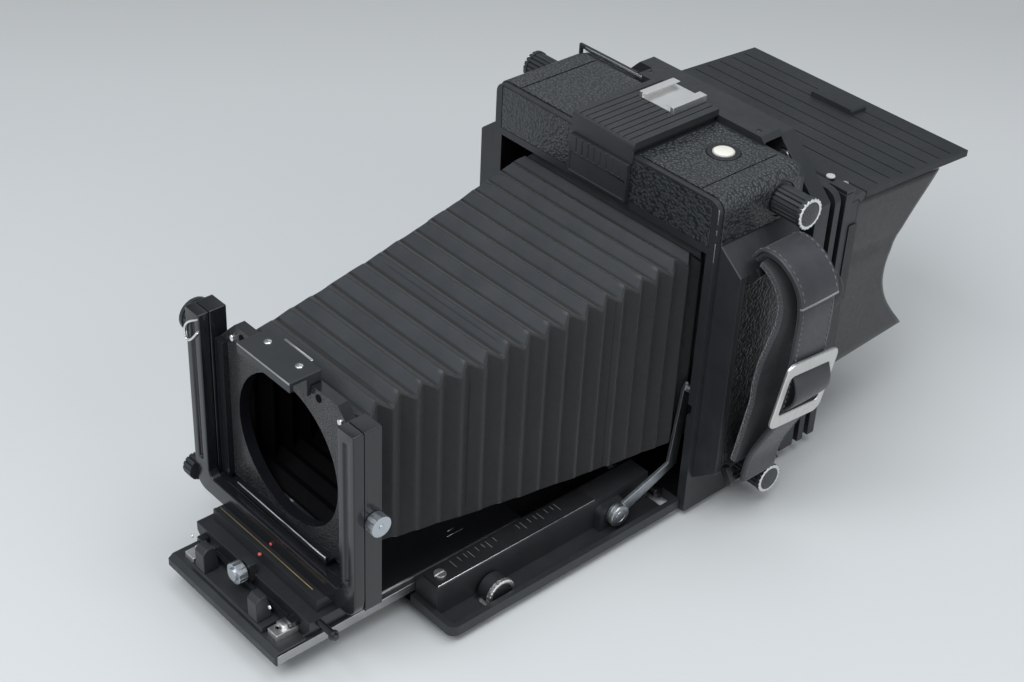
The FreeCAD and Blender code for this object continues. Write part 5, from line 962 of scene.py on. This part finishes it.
def make_hood_cloths():
    """The hood's two side cloths, thin sheets in their open shape; the real cloths fold flat as the lid
    closes.
    """
    wide = CLOTH_COLUMNS + 1
    for side, sign in SIDES:
        verts = [cloth_place(sign, r / CLOTH_ROWS, c / CLOTH_COLUMNS)
                 for r in range(CLOTH_ROWS + 1) for c in range(wide)]
        starts = [r * wide + c for r in range(CLOTH_ROWS) for c in range(CLOTH_COLUMNS)]
        faces = [(a, a + 1, a + wide + 1, a + wide) for a in starts]
        obj = piece(f"hood_cloth_{side}", verts, faces, ["cloth"])
        thick = obj.modifiers.new("thickness", "SOLIDIFY")
        thick.thickness = CLOTH_THICKNESS
        thick.offset = 0.0
        shown = obj.evaluated_get(bpy.context.evaluated_depsgraph_get())
        mesh = bpy.data.meshes.new_from_object(shown)
        obj.modifiers.clear()
        obj.data = mesh
        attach(obj, "viewer")
        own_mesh(obj)
        if sign == 1:
            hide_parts("hood_side_cloths")


make_hood_cloths()


# Small parts that the solids leave out
UP, FRONT = (0, 0, 1), (0, -1, 0)
KNOB_CORNERS = ("upper_right", "lower_right", "upper_left", "lower_left")
KNOB_FACE_INSET, TOOTH_HEIGHT = 0.1, 0.028
LOCK_TOP, LENS_FACE, SWING_FACE = 134.6, -183.2, -193.6
HOLE_PROFILE = ((-0.2, 1.9), (0.12, 1.9), (0.14, 1.6))
CLIP_ROUTE = ((-50.6, -193.6, 129.0), (-55.0, -193.9, 126.5), (-60.4, -193.9, 121.5),
              (-61.0, -193.9, 115.0), (-58.4, -193.9, 113.5), (-53.5, -193.9, 118.0),
              (-50.8, -193.6, 122.0))
STRUT_PIVOT = (66.0, -36.0, 10.5)
STRUT_CAP = ((-0.6, 5.7), (0.2, 5.7), (0.5, 5.4), (0.5, 3.4), (0.3, 3.2), (0.3, 2.9), (0.5, 2.7),
             (0.55, 0.2))
LEVEL_PROFILE = ((-0.05, 4.7), (0.10, 4.7), (0.22, 4.3), (0.26, 0.2))
SCALE_COUNT, SCALE_GAP, SCALE_START, SCALE_STEP = 19, (8, 9, 10), -128.0, 3.6
LINE_START, LINE_WIDTH, LONG_LINE, SHORT_LINE, SHORT_SHIFT = 47.0, 0.28, 5.2, 3.2, 0.9
LINE_HEIGHTS = (19.5, 19.68)


def knob_face(name, node_name, body, way, inner="crinkle", teeth=20, share=0.80):
    """A bright toothed ring round a dark disc on a knob's outer end."""
    low, high = node_box(node_name)
    centre = (low + high) / 2
    centre.x = (high.x if way > 0 else low.x) - way * KNOB_FACE_INSET
    radius = min(high.y - low.y, high.z - low.z) / 2

    def wave(turn):
        return TOOTH_HEIGHT * math.cos(teeth * turn)

    rim = [(-1.4, radius * 0.96), (0.1, radius * 0.98), (0.35, radius * 0.93), (0.35, radius * share),
           (0.1, radius * (share - 0.05))]
    face = [(0.0, radius * (share - 0.02)), (0.32, radius * (share - 0.03)),
            (0.40, radius * (share - 0.09)), (0.42, 0.3)]
    ring = turned(f"{name}_rim", rim, centre, (way, 0, 0), "nickel", body, teeth * 6, wave, 40)
    disc = turned(f"{name}_disc", face, centre, (way, 0, 0), inner, body, 40, None, 45)


def make_knob_faces():
    for corner in KNOB_CORNERS:
        knob_face(f"lock_knob_{corner}", f"lock_knob_{corner}", f"knob_{corner}",
                  1 if "right" in corner else -1)
    for name, way in SIDES:
        knob_face(f"focus_knob_{name}", "focus_knobs", "shaft", way, "plate", 26, 0.78)


def make_board_lock_trim():
    for name, x in (("right", 11.4), ("left", -11.1)):
        button(f"board_lock_rivet_{name}", (x, -183.4, LOCK_TOP), UP, 1.9, 0.5, "chrome", "board_lock")
    slab("board_lock_spring", (-8.0, -177.4, 134.2), (11.8, -176.2, 135.0), "chrome", "board_lock")
    slab("board_lock_front_edge", (-19.0, -194.15, 133.6), (19.0, -193.75, LOCK_TOP), "dull",
         "board_lock")


def make_lens_frame_trim():
    for name, x, z in (("left", -31.8, 124.6), ("right", 24.2, 124.9)):
        # Painted shade: near-black discs stand for the lens frame's two holes
        turned(f"lens_frame_hole_shade_{name}", HOLE_PROFILE, (x, LENS_FACE, z), FRONT, "dark", "lens_holder", 24)
    for name, x, z in (("left", -39.5, 121.0), ("right", 39.2, 121.5)):
        button(f"lens_frame_pin_{name}", (x, LENS_FACE, z), FRONT, 1.7, 0.7, "chrome", "lens_holder")


def make_front_trim():
    """The scale line and index dots, the lens frame's lip, the upright's clip and two screws."""
    slab("carriage_scale_line", (-36.0, -196.6, 32.9), (35.0, -196.1, 33.22), "gold", "carriage", 0.1)
    button("carriage_index_dot", (-0.9, -199.4, 30.5), UP, 0.9, 0.35, "red", "standard", 0.15)
    button("swing_index_dot", (-0.5, SWING_FACE, 33.4), FRONT, 0.8, 0.3, "red", "swinging_frame", 0.15)
    slab("lens_frame_lip", (-33.5, -188.3, 44.4), (33.5, -187.6, 46.0), "chrome", "lens_holder", 0.2)
    wire("upright_clip", CLIP_ROUTE, 0.6, "chrome", "swinging_frame")
    for name, x in (("right", 29.0), ("left", -31.5)):
        button(f"standard_screw_{name}", (x, -215.4, 29.2), FRONT, 1.0, 0.3, "nickel", "standard", 0.1)


def make_track_trim():
    """Holes at the stops, as near-black discs of painted shade, steps at the stops, the scale plates'
    bright edges, and two bright slots.
    """
    for name, side in SIDES:
        for k, y in enumerate((-208.5, -213.5)):
            button(f"stop_hole_shade_{name}_{k}", (side * 31.5, y, 17.75), UP, 0.8, 0.12, "dark", "track", 0.0)
        slab(f"stop_step_{name}", (side * 32 - 2.6, -212.5, 17.6), (side * 32 + 2.6, -209.5, 19.6),
             "nickel", "track", 0.3)
        low, high = sorted((side * 56.6, side * 57.15))
        slab(f"scale_bright_edge_{name}", (low, -142.8, 18.9), (high, -66.0, 19.72), "chrome", "bed", 0.08)
    for k, (x, first, last) in enumerate(((27.6, -113.4, -103.2), (24.6, -110.6, -106.6))):
        slab(f"track_slot_{k}", (x, first, 13.1), (x + 0.5, last, 13.5), "chrome", "track", 0.08)


def make_casing_trim():
    """The bridge's bright bar and the worn front edge."""
    slab("bridge_bright_bar", (-71.0, 55.6, 177.4), (-31.0, 56.1, 179.5), "chrome", "casing", 0.1)
    for k, (low, high) in enumerate(((166.0, 173.5), (160.5, 163.0), (146.0, 156.0))):
        slab(f"edge_wear_{k}", (74.35, -0.12, low), (74.95, 0.25, high), "dull", "casing", 0.1)


def make_scale():
    """Engraved distance lines on the bed's two scale plates; every third one is long."""
    for name, side in SIDES:
        bm = bmesh.new()
        for k in range(SCALE_COUNT):
            if k in SCALE_GAP:
                continue
            y = SCALE_START + SCALE_STEP * k + (SHORT_SHIFT if k % 3 else 0.0)
            a, b = side * LINE_START, side * (LINE_START + (SHORT_LINE if k % 3 else LONG_LINE))
            corners = [bm.verts.new(mm(x, yy, z)) for z in LINE_HEIGHTS
                       for x, yy in ((a, y), (b, y), (b, y + LINE_WIDTH), (a, y + LINE_WIDTH))]
            for quad in BOX_FACES:
                bm.faces.new([corners[i] for i in quad])
        lines = from_bmesh(f"scale_lines_{name}", bm, ["grey"], "bed", False)


def make_level():
    """The round level's ivory plate."""
    low, high = node_box("level_vial")
    centre = ((low.x + high.x) / 2, (low.y + high.y) / 2, high.z)
    plate = turned("level_plate", LEVEL_PROFILE, centre, UP, "ivory", "casing", 40, None, 60)


def make_hood_heads():
    for name, side in SIDES:
        button(f"hood_bracket_screw_{name}", (side * 64.9, 103.6, 146.4), UP, 1.7, 0.4, "nickel", "viewer",
               0.1)
        button(f"hood_bracket_stud_{name}", (side * 54.9, 104.6, 145.4), UP, 2.3, 0.4, "white", "viewer",
               0.2)


def make_strut_caps():
    x, y, z = STRUT_PIVOT
    for name, side in SIDES:
        turned(f"strut_cap_{name}", STRUT_CAP, (side * x, y, z), (side, 0, 0), "satin_chrome", "struts", 40,
               None, 40)


def make_bridge_screws():
    for k, (place, turn) in enumerate((((-31.0, 62.0, 179.9), 20.0), ((43.0, 60.0, 179.9), 70.0))):
        screw(f"bridge_screw_{k}", place, UP, 1.5, 0.25, "dark_steel", "casing", turn)


make_knob_faces()
make_board_lock_trim()
make_lens_frame_trim()
make_front_trim()
make_track_trim()
make_casing_trim()
make_scale()
make_level()
make_hood_heads()
make_strut_caps()
make_bridge_screws()


# Finishes of the CAD nodes
# Each as (finish, width of its softened edges): nodes
FINISHES = {
    ("plate", 0.4): ("base_plate",),
    ("leather", 0.25): ("front_leather_panel", "top_leather_panels", "side_leather_panels"),
    ("satin", 0.3): ("ridged_cover",),
    ("satin", 0.25): ("release_catch",),
    ("nickel", 0.2): ("accessory_shoe", "bed_screws"),
    ("plate", 0.2): ("level_ring",),
    ("vial", 0.3): ("level_vial",),
    ("enamel", 0.6): ("side_housings",),
    ("pad_leather", 0.3): ("side_pads",),
    ("enamel", 0.3): ("rear_bridge", "hood_frame", "hood_brackets", "hood_bottom_flap", "bed_rails",
                      "shift_carriage", "board_lock_plate"),
    ("chrome", 0.2): ("back_rods",),
    ("dull", 0.2): ("swivel_cups",),
    ("enamel", 0.5): ("back_frame", "film_back", "bed_tray"),
    ("enamel", 0.4): ("glass_frame", "track_end_plate", "standard_base"),
    ("frosted", 0.2): ("ground_glass",),
    ("plate", 0.1): ("back_springs",),
    ("lid", 0.2): ("hood_lid",),
    ("dark_steel", 0.2): ("bed_hinge", "strap_anchors"),
    ("satin_chrome", 0.25): ("bed_struts",),
    ("dull", 0.1): ("pinion_shaft",),
    ("brass", 0.0): ("focus_rack",),
    ("nickel", 0.3): ("infinity_stops",),
    ("satin", 0.5): ("pinch_grip_right", "pinch_grip_left"),
    ("gloss", 0.3): ("clamp_levers",),
    ("satin_chrome", 0.1): ("front_lock_knob", "tilt_knob"),
    ("gloss", 0.6): ("swing_frame",),
    ("gloss", 0.5): ("rise_frame",),
    ("satin", 0.1): ("rise_lock_knob", "swing_lock_knob",
                     *(f"lock_knob_{corner}" for corner in KNOB_CORNERS))}

# Painted shade: the casing's faces inside these bounds get the near-black finish
dress("body_shell", "enamel", [(lambda p, n: abs(p.x) < 70.3 and 5.5 < p.z < 149, "dark")], 0.5)
for (main, edge), names in FINISHES.items():
    for name in names:
        dress(name, main, (), edge)
dress("scale_plates", "plate", [(lambda p, n: abs(p.x) > 56.2, "nickel")], 0.12)
dress("focus_knobs", "enamel", [(lambda p, n: abs(p.x) > 65.4, "nickel")], 0.1)
dress("track_plate", "plate", [(lambda p, n: abs(p.x) > 38.4, "dull")], 0.3)
dress("lens_frame", "gloss", [(lambda p, n: n.y < -0.9 and p.y > -184, "crinkle")], 0.3)
